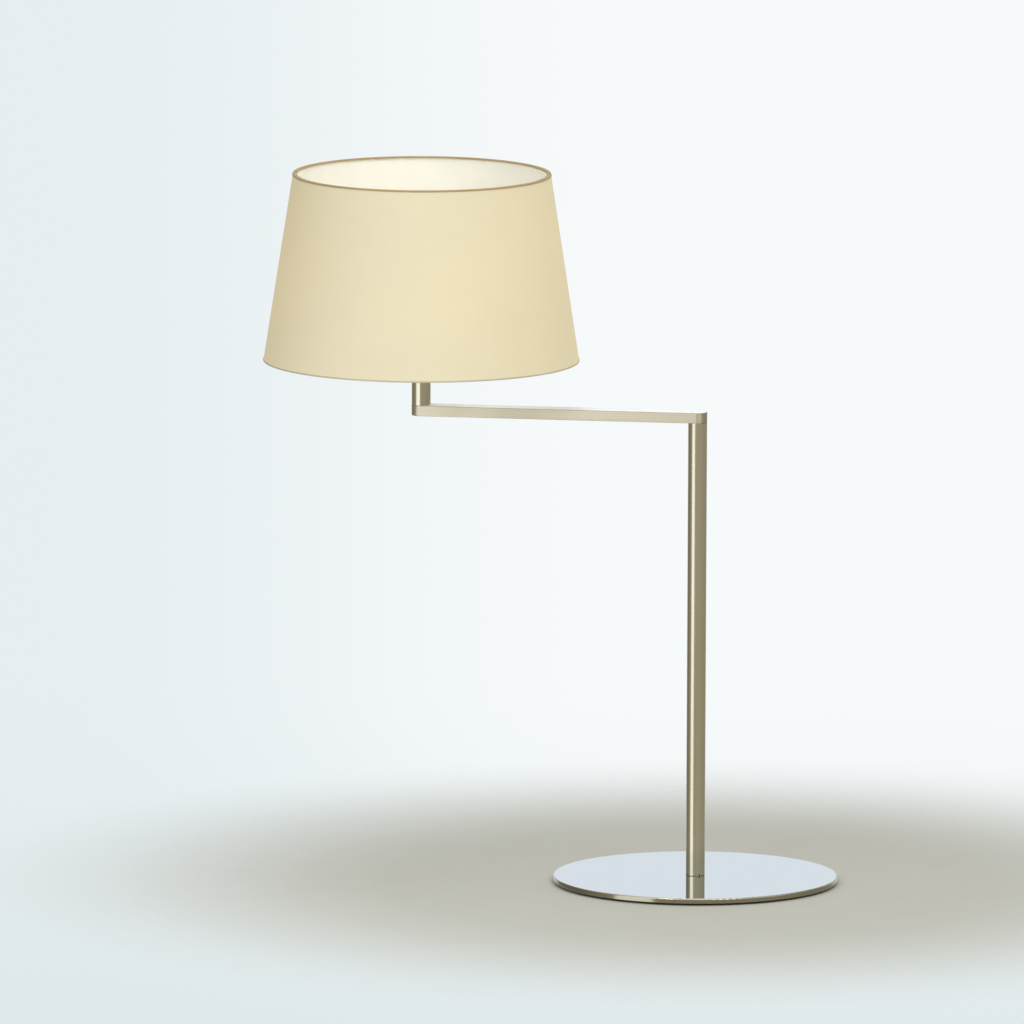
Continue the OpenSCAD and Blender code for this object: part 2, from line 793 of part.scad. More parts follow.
module shade_top_wire() {
    color(white_wire) at_stem() wire_ring(top_wire_z);
}

// A coned sheet whose outer face lies a given depth inside the shade's outline
module coned_sheet(depth, thickness) {
    low = shade_z + edge_in;
    high = shade_top_z - edge_in;
    rotate_extrude($fn = sheet_sides) polygon([
        [shade_r(low) - depth - thickness, low], [shade_r(low) - depth, low],
        [shade_r(high) - depth, high], [shade_r(high) - depth - thickness, high]
    ]);
}

module shade_cloth() {
    color(cream_cloth) at_stem() coned_sheet(tape_t, cloth_t);
}

module shade_lining() {
    color(white_lining) at_stem() coned_sheet(tape_t + cloth_t, lining_t);
}

// Tape folded over an edge of the sheet, down its face on one side and past the wire on the other
module tape_section(wire_z, edge_z, toward) {
    band_z = edge_z + toward * tape_h;
    fold_z = edge_z + toward * tape_t;
    face_t = tape_t - tape_gap;
    leg_r = wire_ring_r(wire_z) - wire_r - tape_gap;
    leg_z = wire_z + toward * wire_r;
    polygon([
        [shade_r(edge_z), edge_z], [shade_r(band_z), band_z],
        [shade_r(band_z) - face_t, band_z], [shade_r(fold_z) - face_t, fold_z],
        [leg_r, fold_z], [leg_r, leg_z], [leg_r - tape_t, leg_z], [leg_r - tape_t, edge_z]
    ]);
}

module shade_top_tape() {
    color(tan_tape) at_stem() rotate_extrude($fn = sheet_sides) tape_section(top_wire_z, shade_top_z, -1);
}

module shade_bottom_tape() {
    color(tan_tape) at_stem() difference() {
        rotate_extrude($fn = sheet_sides) tape_section(bottom_wire_z, shade_z, 1);
        spoke_rods(spoke_r + tape_notch_room);
    }
}

// ---- Bulb ----

// Half outline of the bulb's glass, inset by a depth: a ball that runs down into a neck
function bulb_outline(inset) = let (
        r = bulb_r - inset,
        neck = bulb_neck_r - inset,
        waist = [r * cos(bulb_waist_angle), bulb_mid_z + r * sin(bulb_waist_angle)]
    ) concat(
        [[0, bulb_mid_z + r]],
        [for (a = [90 - bulb_ball_step : -bulb_ball_step : bulb_waist_angle])
            [r * cos(a), bulb_mid_z + r * sin(a)]],
        [for (t = [bulb_neck_step : bulb_neck_step : 1]) [
            waist[0] + (neck - waist[0]) * (1 - (1 - t) * (1 - t)),
            waist[1] + (bulb_seat_z + bulb_neck_h - waist[1]) * t
        ]],
        [[neck, bulb_seat_z], [0, bulb_seat_z]]
    );

module bulb_glass() {
    color(frosted_glass) at_stem() difference() {
        rotate_extrude() polygon(bulb_outline(0));
        translate([0, 0, bulb_wall]) rotate_extrude() polygon(bulb_outline(bulb_wall));
    }
}

module bulb_cap() {
    color(bright_steel) at_stem() translate([0, 0, bulb_cap_z]) difference() {
        cylinder(r = bulb_cap_r, h = bulb_cap_h);
        translate([0, 0, bulb_wall]) cylinder(r = bulb_cap_r - bulb_wall, h = bulb_cap_h);
    }
}

module bulb_insulator() {
    color(black_nylon) at_stem() translate([0, 0, bulb_insulator_z])
        cylinder(r1 = bulb_tip_r, r2 = bulb_cap_r - bulb_taper, h = bulb_insulator_h);
}

module bulb_contact() {
    color(brass) at_stem() translate([0, 0, bulb_tip_z])
        cylinder(r1 = bulb_tip_r - bulb_taper, r2 = bulb_tip_r, h = bulb_tip_h);
}

base_plate();
base_pad();
foot_screw();
foot_pin();
pole_tube();
pole_foot_plug();
cord_bush();
pole_top_plug();
plug_screw();
pole_stop_pin();
pole_washer();
pole_wires();
arm_body();
arm_cover();
cover_screws();
arm_pivot();
pole_disc_spring();
stem_washer();
arm_wires();
stem_tube();
stem_foot_plug();
stem_pivot();
stem_disc_spring();
stem_stop_pin();
stem_top_plug();
holder_nipple();
stem_wires();
holder_cap();
holder_insert();
holder_terminals();
terminal_screws();
holder_shell();
holder_thread();
holder_contact();
shade_ring();
shade_frame();
shade_bottom_wire();
shade_top_wire();
shade_cloth();
shade_lining();
shade_top_tape();
shade_bottom_tape();
bulb_glass();
bulb_cap();
bulb_insulator();
bulb_contact();
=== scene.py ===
# %% [markdown]
# # A swing-arm table lamp
#
# The lamp has a polished round base, a straight pole, a flat arm that turns on the pole, a short stem
# that turns on the arm, and a coned cloth shade round a glass bulb. Its metal parts come from an exact
# model, so this lesson keeps them and gives them finishes. The soft, thin and small things are modelled
# again in Blender: the cloth with its glued seam, the tape along its two edges, the bulb and its
# threaded cap, and the gripped ring that holds the shade down.

# %% Load the exact model
import json
import math
import bmesh
import bpy
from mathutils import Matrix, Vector

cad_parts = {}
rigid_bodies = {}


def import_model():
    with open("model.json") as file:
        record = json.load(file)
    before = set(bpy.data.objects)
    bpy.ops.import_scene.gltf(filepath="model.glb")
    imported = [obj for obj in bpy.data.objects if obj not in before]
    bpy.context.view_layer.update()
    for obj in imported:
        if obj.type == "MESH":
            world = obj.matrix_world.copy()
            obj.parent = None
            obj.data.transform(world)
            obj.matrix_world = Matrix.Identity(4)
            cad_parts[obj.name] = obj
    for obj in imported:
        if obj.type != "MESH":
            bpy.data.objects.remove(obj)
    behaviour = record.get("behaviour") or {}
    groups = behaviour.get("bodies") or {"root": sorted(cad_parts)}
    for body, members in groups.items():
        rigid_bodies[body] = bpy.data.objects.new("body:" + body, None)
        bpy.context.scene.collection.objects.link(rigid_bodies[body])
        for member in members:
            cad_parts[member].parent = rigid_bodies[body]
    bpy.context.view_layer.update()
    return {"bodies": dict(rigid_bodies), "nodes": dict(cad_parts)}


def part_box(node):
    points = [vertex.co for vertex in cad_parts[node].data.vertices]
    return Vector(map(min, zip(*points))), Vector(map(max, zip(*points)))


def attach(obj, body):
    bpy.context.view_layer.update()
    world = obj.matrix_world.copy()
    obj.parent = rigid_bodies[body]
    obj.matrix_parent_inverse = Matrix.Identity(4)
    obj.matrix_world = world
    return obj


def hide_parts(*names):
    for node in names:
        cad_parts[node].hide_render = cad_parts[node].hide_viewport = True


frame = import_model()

nodes = frame["nodes"]

# %% [markdown]
# Everything on the lamp is round one of two upright lines: the pole's, which is the Z axis, and the
# stem's. Places and sizes come from the boxes of the exact parts, so a new piece lands in its place.

# %% Measure the parts that the new pieces belong to
def middle_of(node):
    low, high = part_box(node)
    return (Vector(low) + Vector(high)) / 2


def half_width(node):
    low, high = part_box(node)
    return (high[1] - low[1]) / 2


def level(node, top):
    """Height of a node's top or foot."""
    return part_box(node)[1 if top else 0][2]


stem_x = middle_of("stem_tube").x
print("stem axis x:", round(stem_x, 4))

# %% [markdown]
# The shade is a cone cut off at both ends, so its radius falls evenly with height. Two widths that are
# known exactly, at the lower edge and at the foot of the upper tape, give that straight line.

# %% The shade's straight side
TAPE_T = 0.0004
TAPE_BAND = 0.0015
CLOTH_T = 0.0006
SNUG = 0.00005
rim_low = level("shade_bottom_tape", False)
rim_high = level("shade_top_tape", True)
wide_r = half_width("shade_bottom_tape")
narrow_r = half_width("shade_top_tape")
side_slope = (wide_r - narrow_r) / (rim_high - TAPE_BAND - rim_low)


def side_r(z):
    """Radius of the shade's outer line at height z."""
    return wide_r - (z - rim_low) * side_slope


print("shade radius at the edges:", round(side_r(rim_low), 4), round(side_r(rim_high), 4))

# %% [markdown]
# ## The camera
# The lamp is seen from far away and a little above, slightly from its right, which keeps its upright
# lines straight. A long lens does the same here, and the view is rolled by a fraction of a degree.

# %% Set the camera
VIEW_AZIMUTH = math.radians(8.93)
VIEW_HEIGHT = math.radians(8.66)
VIEW_ROLL = math.radians(0.23)
VIEW_DISTANCE = 20.0
VIEW_LENS = 742.0
LOOK_AT = Vector((-0.140, 0.0, 0.336))
SIDEWAYS, UPWARDS = -0.037, 0.015


def direction(azimuth, height):
    """Unit vector from the lamp towards a place at this azimuth and height, both in radians."""
    flat = math.cos(height)
    return Vector((math.sin(azimuth) * flat, -math.cos(azimuth) * flat, math.sin(height)))


towards_camera = direction(VIEW_AZIMUTH, VIEW_HEIGHT)
turned = (-towards_camera).to_track_quat("-Z", "Y")
right, up = turned @ Vector((1, 0, 0)), turned @ Vector((0, 1, 0))
camera_data = bpy.data.cameras.new("view_camera")
camera_data.lens = VIEW_LENS
camera_data.clip_start, camera_data.clip_end = 1.0, 100.0
camera = bpy.data.objects.new("view_camera", camera_data)
bpy.context.scene.collection.objects.link(camera)
camera.location = LOOK_AT + SIDEWAYS * right + UPWARDS * up + VIEW_DISTANCE * towards_camera
camera.rotation_euler = turned.to_euler()
camera.rotation_euler.rotate_axis("Z", VIEW_ROLL)
bpy.context.scene.camera = camera
print("camera at", [round(v, 3) for v in camera.location])

# %% [markdown]
# ## Tools for modelling
# New pieces are made as they would be by hand: open a mesh in edit mode, choose faces or edges by where
# they lie, and run an operator on them. These helpers keep each of those steps to one line. Everything
# is deselected first, because an operator works on all that is selected.

# %% Open, choose and close
def deselect():
    bpy.ops.object.select_all(action="DESELECT")


def open_piece(piece):
    deselect()
    piece.select_set(True)
    bpy.context.view_layer.objects.active = piece
    bpy.ops.object.mode_set(mode="EDIT")


def choose(piece, kind, test):
    """Selects the corners, edges or faces whose middle passes the test, and says how many."""
    bpy.ops.mesh.select_mode(type=kind)
    bpy.ops.mesh.select_all(action="DESELECT")
    mesh = bmesh.from_edit_mesh(piece.data)
    parts = {"VERT": mesh.verts, "EDGE": mesh.edges, "FACE": mesh.faces}[kind]
    count = 0
    for part in parts:
        corners = [part.co] if kind == "VERT" else [corner.co for corner in part.verts]
        if test(sum(corners, Vector()) / len(corners)):
            part.select_set(True)
            count += 1
    bmesh.update_edit_mesh(piece.data)
    return count


def close_piece(piece, smooth_angle=35):
    """Merges doubles, points the faces outwards and smooths all but the sharp edges."""
    bpy.ops.mesh.select_all(action="SELECT")
    bpy.ops.mesh.remove_doubles(threshold=1e-6)
    bpy.ops.mesh.normals_make_consistent(inside=False)
    bpy.ops.object.mode_set(mode="OBJECT")
    bpy.ops.object.shade_smooth_by_angle(angle=math.radians(smooth_angle))
    print(piece.name, "faces:", len(piece.data.polygons))


def apply_modifier(piece, kind, smooth_angle=35, **settings):
    """Runs a modifier for good, then smooths again, because new walls bring new sharp edges."""
    deselect()
    piece.select_set(True)
    bpy.context.view_layer.objects.active = piece
    modifier = piece.modifiers.new(kind.title(), kind)
    for name, value in settings.items():
        setattr(modifier, name, value)
    bpy.ops.object.modifier_apply(modifier=modifier.name)
    bpy.ops.object.shade_smooth_by_angle(angle=math.radians(smooth_angle))


def hand_over(piece, body, slot, *replaced):
    """Puts the piece on the body that carries it and hides the exact parts it replaces; slot is not used."""
    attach(piece, body)
    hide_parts(*replaced)

# %% [markdown]
# Tape, glass and turned rings are all round, so they are made the way a lathe or a potter's wheel makes
# them: one corner is extruded into an outline, and the outline is spun round the stem's axis.

# %% Turn an outline on the stem's axis
def turn(name, outline, steps, smooth_angle=35):
    """Spins a line of (radius, height) points once round the stem's axis."""
    deselect()
    first = outline[0]
    bpy.ops.mesh.primitive_plane_add(size=0.001, location=(stem_x + first[0], 0, first[1]))
    piece = bpy.context.object
    piece.name = piece.data.name = name
    bpy.ops.object.transform_apply(location=True, rotation=True, scale=True)
    open_piece(piece)
    bpy.ops.mesh.select_all(action="SELECT")
    bpy.ops.mesh.merge(type="CENTER")
    for here, there in zip(outline, outline[1:]):
        step = (there[0] - here[0], 0, there[1] - here[1])
        bpy.ops.mesh.extrude_vertices_move(TRANSFORM_OT_translate={"value": step})
    bpy.ops.mesh.select_all(action="SELECT")
    bpy.ops.mesh.spin(steps=steps, angle=math.tau, center=(stem_x, 0, 0), axis=(0, 0, 1))
    close_piece(piece, smooth_angle)
    return piece


def curve_points(a, b, c, d, count):
    """Points on a smooth curve that leaves a towards b and reaches d from c."""
    points = []
    for i in range(1, count + 1):
        t = i / count
        u = 1 - t
        weights = (u * u * u, 3 * u * u * t, 3 * u * t * t, t * t * t)
        points.append(tuple(sum(w * p[k] for w, p in zip(weights, (a, b, c, d))) for k in (0, 1)))
    return points

# %% [markdown]
# ## The cloth
# The shade's cloth is one curved strip, glued to a stiff lining and closed at the back with a lapped
# seam 10 mm wide. A cone without ends has that shape. The seam is cut out of the back of the cone with
# two straight cuts, raised by about half the cloth's thickness, and let down again along one side, which
# leaves one visible step, as a real lap does. Walls are given to the cloth last.

# %% Model the cloth and its seam
SHADE_STEPS = 240
SEAM_W = 0.010
LAP_RISE = 0.00035
CLOTH_BANDS = 8
ON_THE_CUT = 1e-5
cloth_low = rim_low + TAPE_T + SNUG
cloth_high = rim_high - TAPE_T - SNUG
cloth_h = cloth_high - cloth_low

deselect()
bpy.ops.mesh.primitive_cone_add(
    vertices=SHADE_STEPS, radius1=side_r(cloth_low) - TAPE_T, radius2=side_r(cloth_high) - TAPE_T,
    depth=cloth_h, end_fill_type="NOTHING", location=(stem_x, 0, (cloth_low + cloth_high) / 2))
cloth = bpy.context.object
cloth.name = cloth.data.name = "shade_skin"
bpy.ops.object.transform_apply(location=True, rotation=True, scale=True)
open_piece(cloth)
for band in range(1, CLOTH_BANDS):
    bpy.ops.mesh.select_all(action="SELECT")
    cut_z = cloth_low + cloth_h * band / CLOTH_BANDS
    bpy.ops.mesh.bisect(plane_co=(stem_x, 0, cut_z), plane_no=(0, 0, 1))
for side in (-1, 1):
    choose(cloth, "FACE", lambda at: at.y > 0 and abs(at.x - stem_x) < 3 * SEAM_W)
    bpy.ops.mesh.bisect(plane_co=(stem_x + side * SEAM_W / 2, 0, 0), plane_no=(1, 0, 0))
seam_faces = choose(cloth, "FACE", lambda at: at.y > 0 and abs(at.x - stem_x) < SEAM_W / 2)
bpy.ops.mesh.extrude_region_shrink_fatten(TRANSFORM_OT_shrink_fatten={"value": LAP_RISE})
choose(cloth, "VERT", lambda at: (
    at.y > 0 and abs(at.x - stem_x + SEAM_W / 2) < ON_THE_CUT
    and math.hypot(at.x - stem_x, at.y) > side_r(at.z) - TAPE_T + LAP_RISE / 2))
bpy.ops.transform.shrink_fatten(value=-LAP_RISE)
close_piece(cloth, smooth_angle=25)
apply_modifier(cloth, "SOLIDIFY", thickness=CLOTH_T, offset=-1)
print("seam faces:", seam_faces, "cloth height:", round(cloth_h, 4))

# %% [markdown]

# %% [markdown]
# ## The tape along the edges
# A narrow ribbed tape is folded over each edge of the shade and glued down, outside on the cloth and
# inside the wire, down to the wire's middle. Its section is a flat hook with soft corners, and one turn
# makes the whole band.

# %% Model the two bands of tape
SOFT_CORNER = 0.00035
CORNER_NIP = 0.3 * SOFT_CORNER


def tape_outline(wire, edge_z, inwards):
    """Section of the folded tape at an edge; inwards is 1 above a lower edge and -1 below an upper one."""
    low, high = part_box(wire)
    thickness = high[2] - low[2]
    leg_r = half_width(wire) - thickness - SNUG
    leg_end = (low[2] + high[2]) / 2
    band_z = edge_z + inwards * TAPE_BAND
    fold_z = edge_z + inwards * TAPE_T
    corner_z = edge_z + inwards * SOFT_CORNER
    nip_z = edge_z + inwards * CORNER_NIP
    face_t = TAPE_T - SNUG
    back_r = leg_r - TAPE_T
    return [
        (side_r(band_z), band_z), (side_r(corner_z), corner_z),
        (side_r(edge_z) - CORNER_NIP, nip_z), (side_r(edge_z) - SOFT_CORNER, edge_z),
        (back_r + SOFT_CORNER, edge_z), (back_r + CORNER_NIP, nip_z),
        (back_r, corner_z), (back_r, leg_end), (leg_r, leg_end), (leg_r, fold_z),
        (side_r(fold_z) - face_t, fold_z), (side_r(band_z) - face_t, band_z), (side_r(band_z), band_z)]


top_edging = turn("shade_top_edging", tape_outline("shade_top_wire", rim_high, -1), SHADE_STEPS)
bottom_edging = turn("shade_bottom_edging", tape_outline("shade_bottom_wire", rim_low, 1), SHADE_STEPS)

# %% [markdown]
# ## The bulb
# The bulb is an opal glass ball that narrows into a neck. A ball and a neck are joined by one smooth
# curve that leaves the ball along its own slope. The glass is thin, so it is a skin with a wall inside.

# %% Model the glass
GLASS_T = 0.0008
BALL_STEP = 5
WAIST_ANGLE = -40
BULB_STEPS = 64
NECK_RISE = 0.0022
NECK_R = 0.0126
HANDLE_SHARE = 0.4
CURVE_POINTS = 8
CLOSED_SMOOTH_ANGLE = 60
ball_r = half_width("bulb_glass")
ball_z = level("bulb_glass", True) - ball_r
seat_z = level("bulb_glass", False)
waist = math.radians(WAIST_ANGLE)
ball = [
    (ball_r * math.cos(math.radians(a)), ball_z + ball_r * math.sin(math.radians(a)))
    for a in range(90, WAIST_ANGLE - 1, -BALL_STEP)]
ball[0] = (0.0, ball_z + ball_r)
handle = HANDLE_SHARE * ball_r
after_ball = (ball[-1][0] + handle * math.sin(waist), ball[-1][1] - handle * math.cos(waist))
neck_top = (NECK_R, seat_z + NECK_RISE)
above_neck = (NECK_R, neck_top[1] + handle / 2)
neck = curve_points(ball[-1], after_ball, above_neck, neck_top, CURVE_POINTS)
globe = turn("bulb_globe", ball + neck + [(NECK_R, seat_z)], BULB_STEPS, CLOSED_SMOOTH_ANGLE)
apply_modifier(globe, "SOLIDIFY", thickness=GLASS_T, offset=-1)

# %% [markdown]
# The bulb's metal cap is rolled from thin sheet, so its thread is a row of soft waves inside and out.
# The outline runs up the outside and back down the inside.

# %% Model the threaded cap
THREAD_PITCH = 0.0036
WAVE_STEPS = 8
CAP_T = 0.0006
WAVE_DEPTH = 0.0006
THREAD_MARGIN = 0.003
FOOT_BEVEL_IN = 0.003
FOOT_BEVEL_UP = 0.0015
cap_low = level("bulb_cap", False)
cap_high = level("bulb_cap", True)
cap_r = half_width("bulb_cap")
thread_low = cap_low + THREAD_MARGIN
thread_h = cap_high - THREAD_MARGIN - thread_low
waves = round(thread_h / THREAD_PITCH)
outside = [(cap_r - FOOT_BEVEL_IN, cap_low), (cap_r - WAVE_DEPTH, cap_low + FOOT_BEVEL_UP)]
for i in range(waves * WAVE_STEPS + 1):
    share_up = i / (waves * WAVE_STEPS)
    wave = (1 - math.cos(math.tau * waves * share_up)) / 2
    outside.append((cap_r - WAVE_DEPTH * (1 - wave), thread_low + share_up * thread_h))
outside.append((cap_r - WAVE_DEPTH, cap_high))
inside = [(r - CAP_T, max(z, cap_low + CAP_T)) for r, z in reversed(outside)]
screw_cap = turn("bulb_screw_cap", outside + inside + outside[:1], BULB_STEPS)

# %% [markdown]
# ## The shade's ring
# A plastic ring screws down on the lampholder and traps the shade's frame. Fingers need a grip, so its
# collar has a row of ribs. The ring is turned first, with its edges rounded a little. Then every other
# group of faces round the collar is pushed out.

# %% Model the gripped ring
RIBS = 24
FACES_PER_RIB = 6
RIB_RISE = 0.0005
RIB_SHARE = 0.5
EDGE_ROUND = 0.0006
FLANGE_REACH = 0.005
FLANGE_T = 0.003
HOLE_R = 0.01965
ring_low = level("shade_ring", False)
ring_high = level("shade_ring", True)
flange_r = half_width("shade_ring")
flange_z = ring_low + FLANGE_T
plain_r = flange_r - FLANGE_REACH - RIB_RISE
ring_outline = [
    (HOLE_R, ring_low), (flange_r - EDGE_ROUND, ring_low), (flange_r, ring_low + EDGE_ROUND),
    (flange_r, flange_z - EDGE_ROUND), (flange_r - EDGE_ROUND, flange_z),
    (plain_r + EDGE_ROUND, flange_z), (plain_r, flange_z + EDGE_ROUND),
    (plain_r, ring_high - 2 * EDGE_ROUND), (plain_r - EDGE_ROUND, ring_high),
    (HOLE_R + EDGE_ROUND, ring_high), (HOLE_R, ring_high - EDGE_ROUND), (HOLE_R, ring_low)]
grip_ring = turn("shade_grip_ring", ring_outline, RIBS * FACES_PER_RIB)
open_piece(grip_ring)


def on_a_rib(at):
    """Tells whether a face lies where a rib is pushed out of the collar."""
    radius = math.hypot(at.x - stem_x, at.y)
    share = math.atan2(at.y, at.x - stem_x) / math.tau * RIBS % 1
    upright = flange_z + EDGE_ROUND < at.z < ring_high - 2 * EDGE_ROUND
    return upright and radius > plain_r - EDGE_ROUND / 2 and share < RIB_SHARE


rib_faces = choose(grip_ring, "FACE", on_a_rib)
bpy.ops.mesh.extrude_region_shrink_fatten(TRANSFORM_OT_shrink_fatten={"value": RIB_RISE})
close_piece(grip_ring, smooth_angle=30)
print("rib faces pushed out:", rib_faces)

# %% [markdown]
# ## Put each new piece on its body
# The shade, the bulb and the ring all turn with the stem, so they ride on the head, and each new piece
# hides the exact part it stands in for. On the lamp, the cloth is stretched over its two wires.

# %% Hand the pieces over
hand_over(cloth, "head", "shade_cloth", "shade_cloth")
hand_over(top_edging, "head", "edge_tape", "shade_top_tape")
hand_over(bottom_edging, "head", "edge_tape", "shade_bottom_tape")
hand_over(globe, "head", "bulb_glass", "bulb_glass")
hand_over(screw_cap, "head", "bulb_metal", "bulb_cap")
hand_over(grip_ring, "head", "white_plastic", "shade_ring")

# %% [markdown]
# ## Tools for finishes
# A finish is a small network of nodes. These helpers add a node, set its sockets and join it up, so
# that each material below reads as a short recipe. A socket is set from a number or colour, or linked
# when it is given another node's output, and one helper does that for all of them.

# %% Add and join nodes
def linear(red, green, blue):
    """A colour given in the everyday 0 to 255 scale, as the shader wants it."""
    parts = []
    for value in (red, green, blue):
        v = value / 255
        parts.append(v / 12.92 if v <= 0.04045 else ((v + 0.055) / 1.055) ** 2.4)
    return (*parts, 1.0)


def fill_socket(tree, socket, value):
    if isinstance(value, bpy.types.NodeSocket):
        tree.links.new(value, socket)
    else:
        socket.default_value = value


def put(tree, kind, settings=(), **inputs):
    """Adds a node. Inputs are named with _ for a space, or in0, in1 and so on by their place."""
    node = tree.nodes.new(kind)
    for name, value in dict(settings).items():
        setattr(node, name, value)
    for name, value in inputs.items():
        by_place = name[:2] == "in" and name[2:].isdigit()
        socket = node.inputs[int(name[2:]) if by_place else name.replace("_", " ")]
        fill_socket(tree, socket, value)
    return node


def math_node(tree, operation, a, b=0.0):
    return put(tree, "ShaderNodeMath", {"operation": operation}, in0=a, in1=b).outputs[0]


def blend_colours(tree, share, a, b):
    """Colour a where the share is 0 and colour b where it is 1."""
    node = put(tree, "ShaderNodeMix", {"data_type": "RGBA"})
    for place, value in ((0, share), (6, a), (7, b)):
        fill_socket(tree, node.inputs[place], value)
    return node.outputs[2]


def remap(tree, value, low, high, to_low, to_high):
    """A smooth step from to_low to to_high while the value goes from low to high."""
    return put(tree, "ShaderNodeMapRange", {"interpolation_type": "SMOOTHSTEP"},
               Value=value, From_Min=low, From_Max=high, To_Min=to_low, To_Max=to_high).outputs[0]


def stretched_noise(tree, at, scale, detail=3.0):
    """Noise with its own scale along each axis, in waves per metre."""
    placed = put(tree, "ShaderNodeMapping", Vector=at, Scale=scale)
    return put(tree, "ShaderNodeTexNoise", Vector=placed.outputs[0], Scale=1.0, Detail=detail).outputs["Fac"]


def new_group(name, inputs, outputs):
    """Starts a node group with named sockets and returns it with its two end nodes."""
    group = bpy.data.node_groups.new(name, "ShaderNodeTree")
    for title, kind, value in inputs:
        socket = group.interface.new_socket(title, in_out="INPUT", socket_type=kind)
        if value is not None:
            socket.default_value = value
    for title, kind in outputs:
        group.interface.new_socket(title, in_out="OUTPUT", socket_type=kind)
    return group, group.nodes.new("NodeGroupInput"), group.nodes.new("NodeGroupOutput")


def use_group(tree, group, **inputs):
    return put(tree, "ShaderNodeGroup", {"node_tree": group}, **inputs)


def new_finish(name):
    material = bpy.data.materials.new(name)
    material.use_nodes = True
    tree = material.node_tree
    shader = tree.nodes["Principled BSDF"]
    at = put(tree, "ShaderNodeTexCoord").outputs["Object"]
    return material, tree, shader, at


def set_shader(tree, shader, **inputs):
    for name, value in inputs.items():
        fill_socket(tree, shader.inputs[name.replace("_", " ")], value)


def colour_so_far(shader):
    """The output that gives a finish its base colour, to blend something more over it."""
    return shader.inputs["Base Color"].links[0].from_socket


def bump(tree, height, distance, strength):
    return put(tree, "ShaderNodeBump", Height=height, Distance=distance, Strength=strength).outputs[0]

# %% [markdown]
# ## Effects that several finishes share
# **Grain** is the fine parallel scratching of satin metal. It is noise that is long in one direction and
# very short in the others, and gives one mask for colour and roughness, and one height for the bump.

# %% Grain
FLOAT = "NodeSocketFloat"
VECTOR = "NodeSocketVector"
grain, start, end = new_group(
    "satin_grain", [("Place", VECTOR, None), ("Fineness", VECTOR, (30.0, 4000.0, 4000.0))],
    [("Streaks", FLOAT), ("Height", FLOAT)])
placed = put(grain, "ShaderNodeVectorMath", {"operation": "MULTIPLY"},
             in0=start.outputs["Place"], in1=start.outputs["Fineness"])
fine = put(grain, "ShaderNodeTexNoise", Vector=placed.outputs[0], Scale=1.0, Detail=4.0).outputs["Fac"]
broad_place = put(grain, "ShaderNodeVectorMath", {"operation": "SCALE"}, in0=placed.outputs[0], Scale=0.12)
broad = put(grain, "ShaderNodeTexNoise", Vector=broad_place.outputs[0], Scale=1.0, Detail=2.0).outputs["Fac"]
half_fine = math_node(grain, "MULTIPLY", fine, 0.5)
half_broad = math_node(grain, "MULTIPLY", broad, 0.5)
grain.links.new(math_node(grain, "ADD", half_fine, half_broad), end.inputs["Streaks"])
grain.links.new(fine, end.inputs["Height"])
print("made", grain.name)

# %% [markdown]
# **Handling** is the faint cloudiness that hands and dusters leave on metal and plastic: broad soft
# smudges, and apart from them a few finer specks of dust.

# %% Handling
handling, start, end = new_group(
    "handling_marks", [("Place", VECTOR, None), ("Size", FLOAT, 25.0)], [("Smudge", FLOAT), ("Dust", FLOAT)])
cloudy = put(handling, "ShaderNodeTexNoise", Vector=start.outputs["Place"], Scale=start.outputs["Size"],
             Detail=5.0, Roughness=0.6).outputs["Fac"]
specks = put(handling, "ShaderNodeTexNoise", Vector=start.outputs["Place"], Scale=900.0, Detail=2.0)
handling.links.new(remap(handling, cloudy, 0.42, 0.68, 0.0, 1.0), end.inputs["Smudge"])
handling.links.new(remap(handling, specks.outputs["Fac"], 0.66, 0.78, 0.0, 1.0), end.inputs["Dust"])
print("made", handling.name)

# %% [markdown]
# **Unrolled** turns a place on the shade into a place on its flat pattern: how far round it is, in
# metres, and how high. The join falls at the back, where the cloth has its seam.

# %% Unrolled
unrolled, start, end = new_group(
    "unrolled_from_stem", [("Place", VECTOR, None), ("Stem X", FLOAT, stem_x), ("Radius", FLOAT, 0.136)],
    [("Flat", VECTOR), ("Around", FLOAT), ("Height", FLOAT)])
split = put(unrolled, "ShaderNodeSeparateXYZ", Vector=start.outputs["Place"])
from_stem = math_node(unrolled, "SUBTRACT", split.outputs["X"], start.outputs["Stem X"])
forwards = math_node(unrolled, "MULTIPLY", split.outputs["Y"], -1.0)
angle = math_node(unrolled, "ARCTAN2", from_stem, forwards)
around = math_node(unrolled, "MULTIPLY", angle, start.outputs["Radius"])
flat = put(unrolled, "ShaderNodeCombineXYZ", X=around, Y=split.outputs["Z"])
unrolled.links.new(flat.outputs[0], end.inputs["Flat"])
unrolled.links.new(around, end.inputs["Around"])
unrolled.links.new(split.outputs["Z"], end.inputs["Height"])
print("made", unrolled.name)

# %% [markdown]
# **Weave** is a plain cloth: threads cross over and under each other, and here and there a thread is
# thicker than its neighbours. Two waves at right angles give the crossings, and long thin noise the
# thick threads.

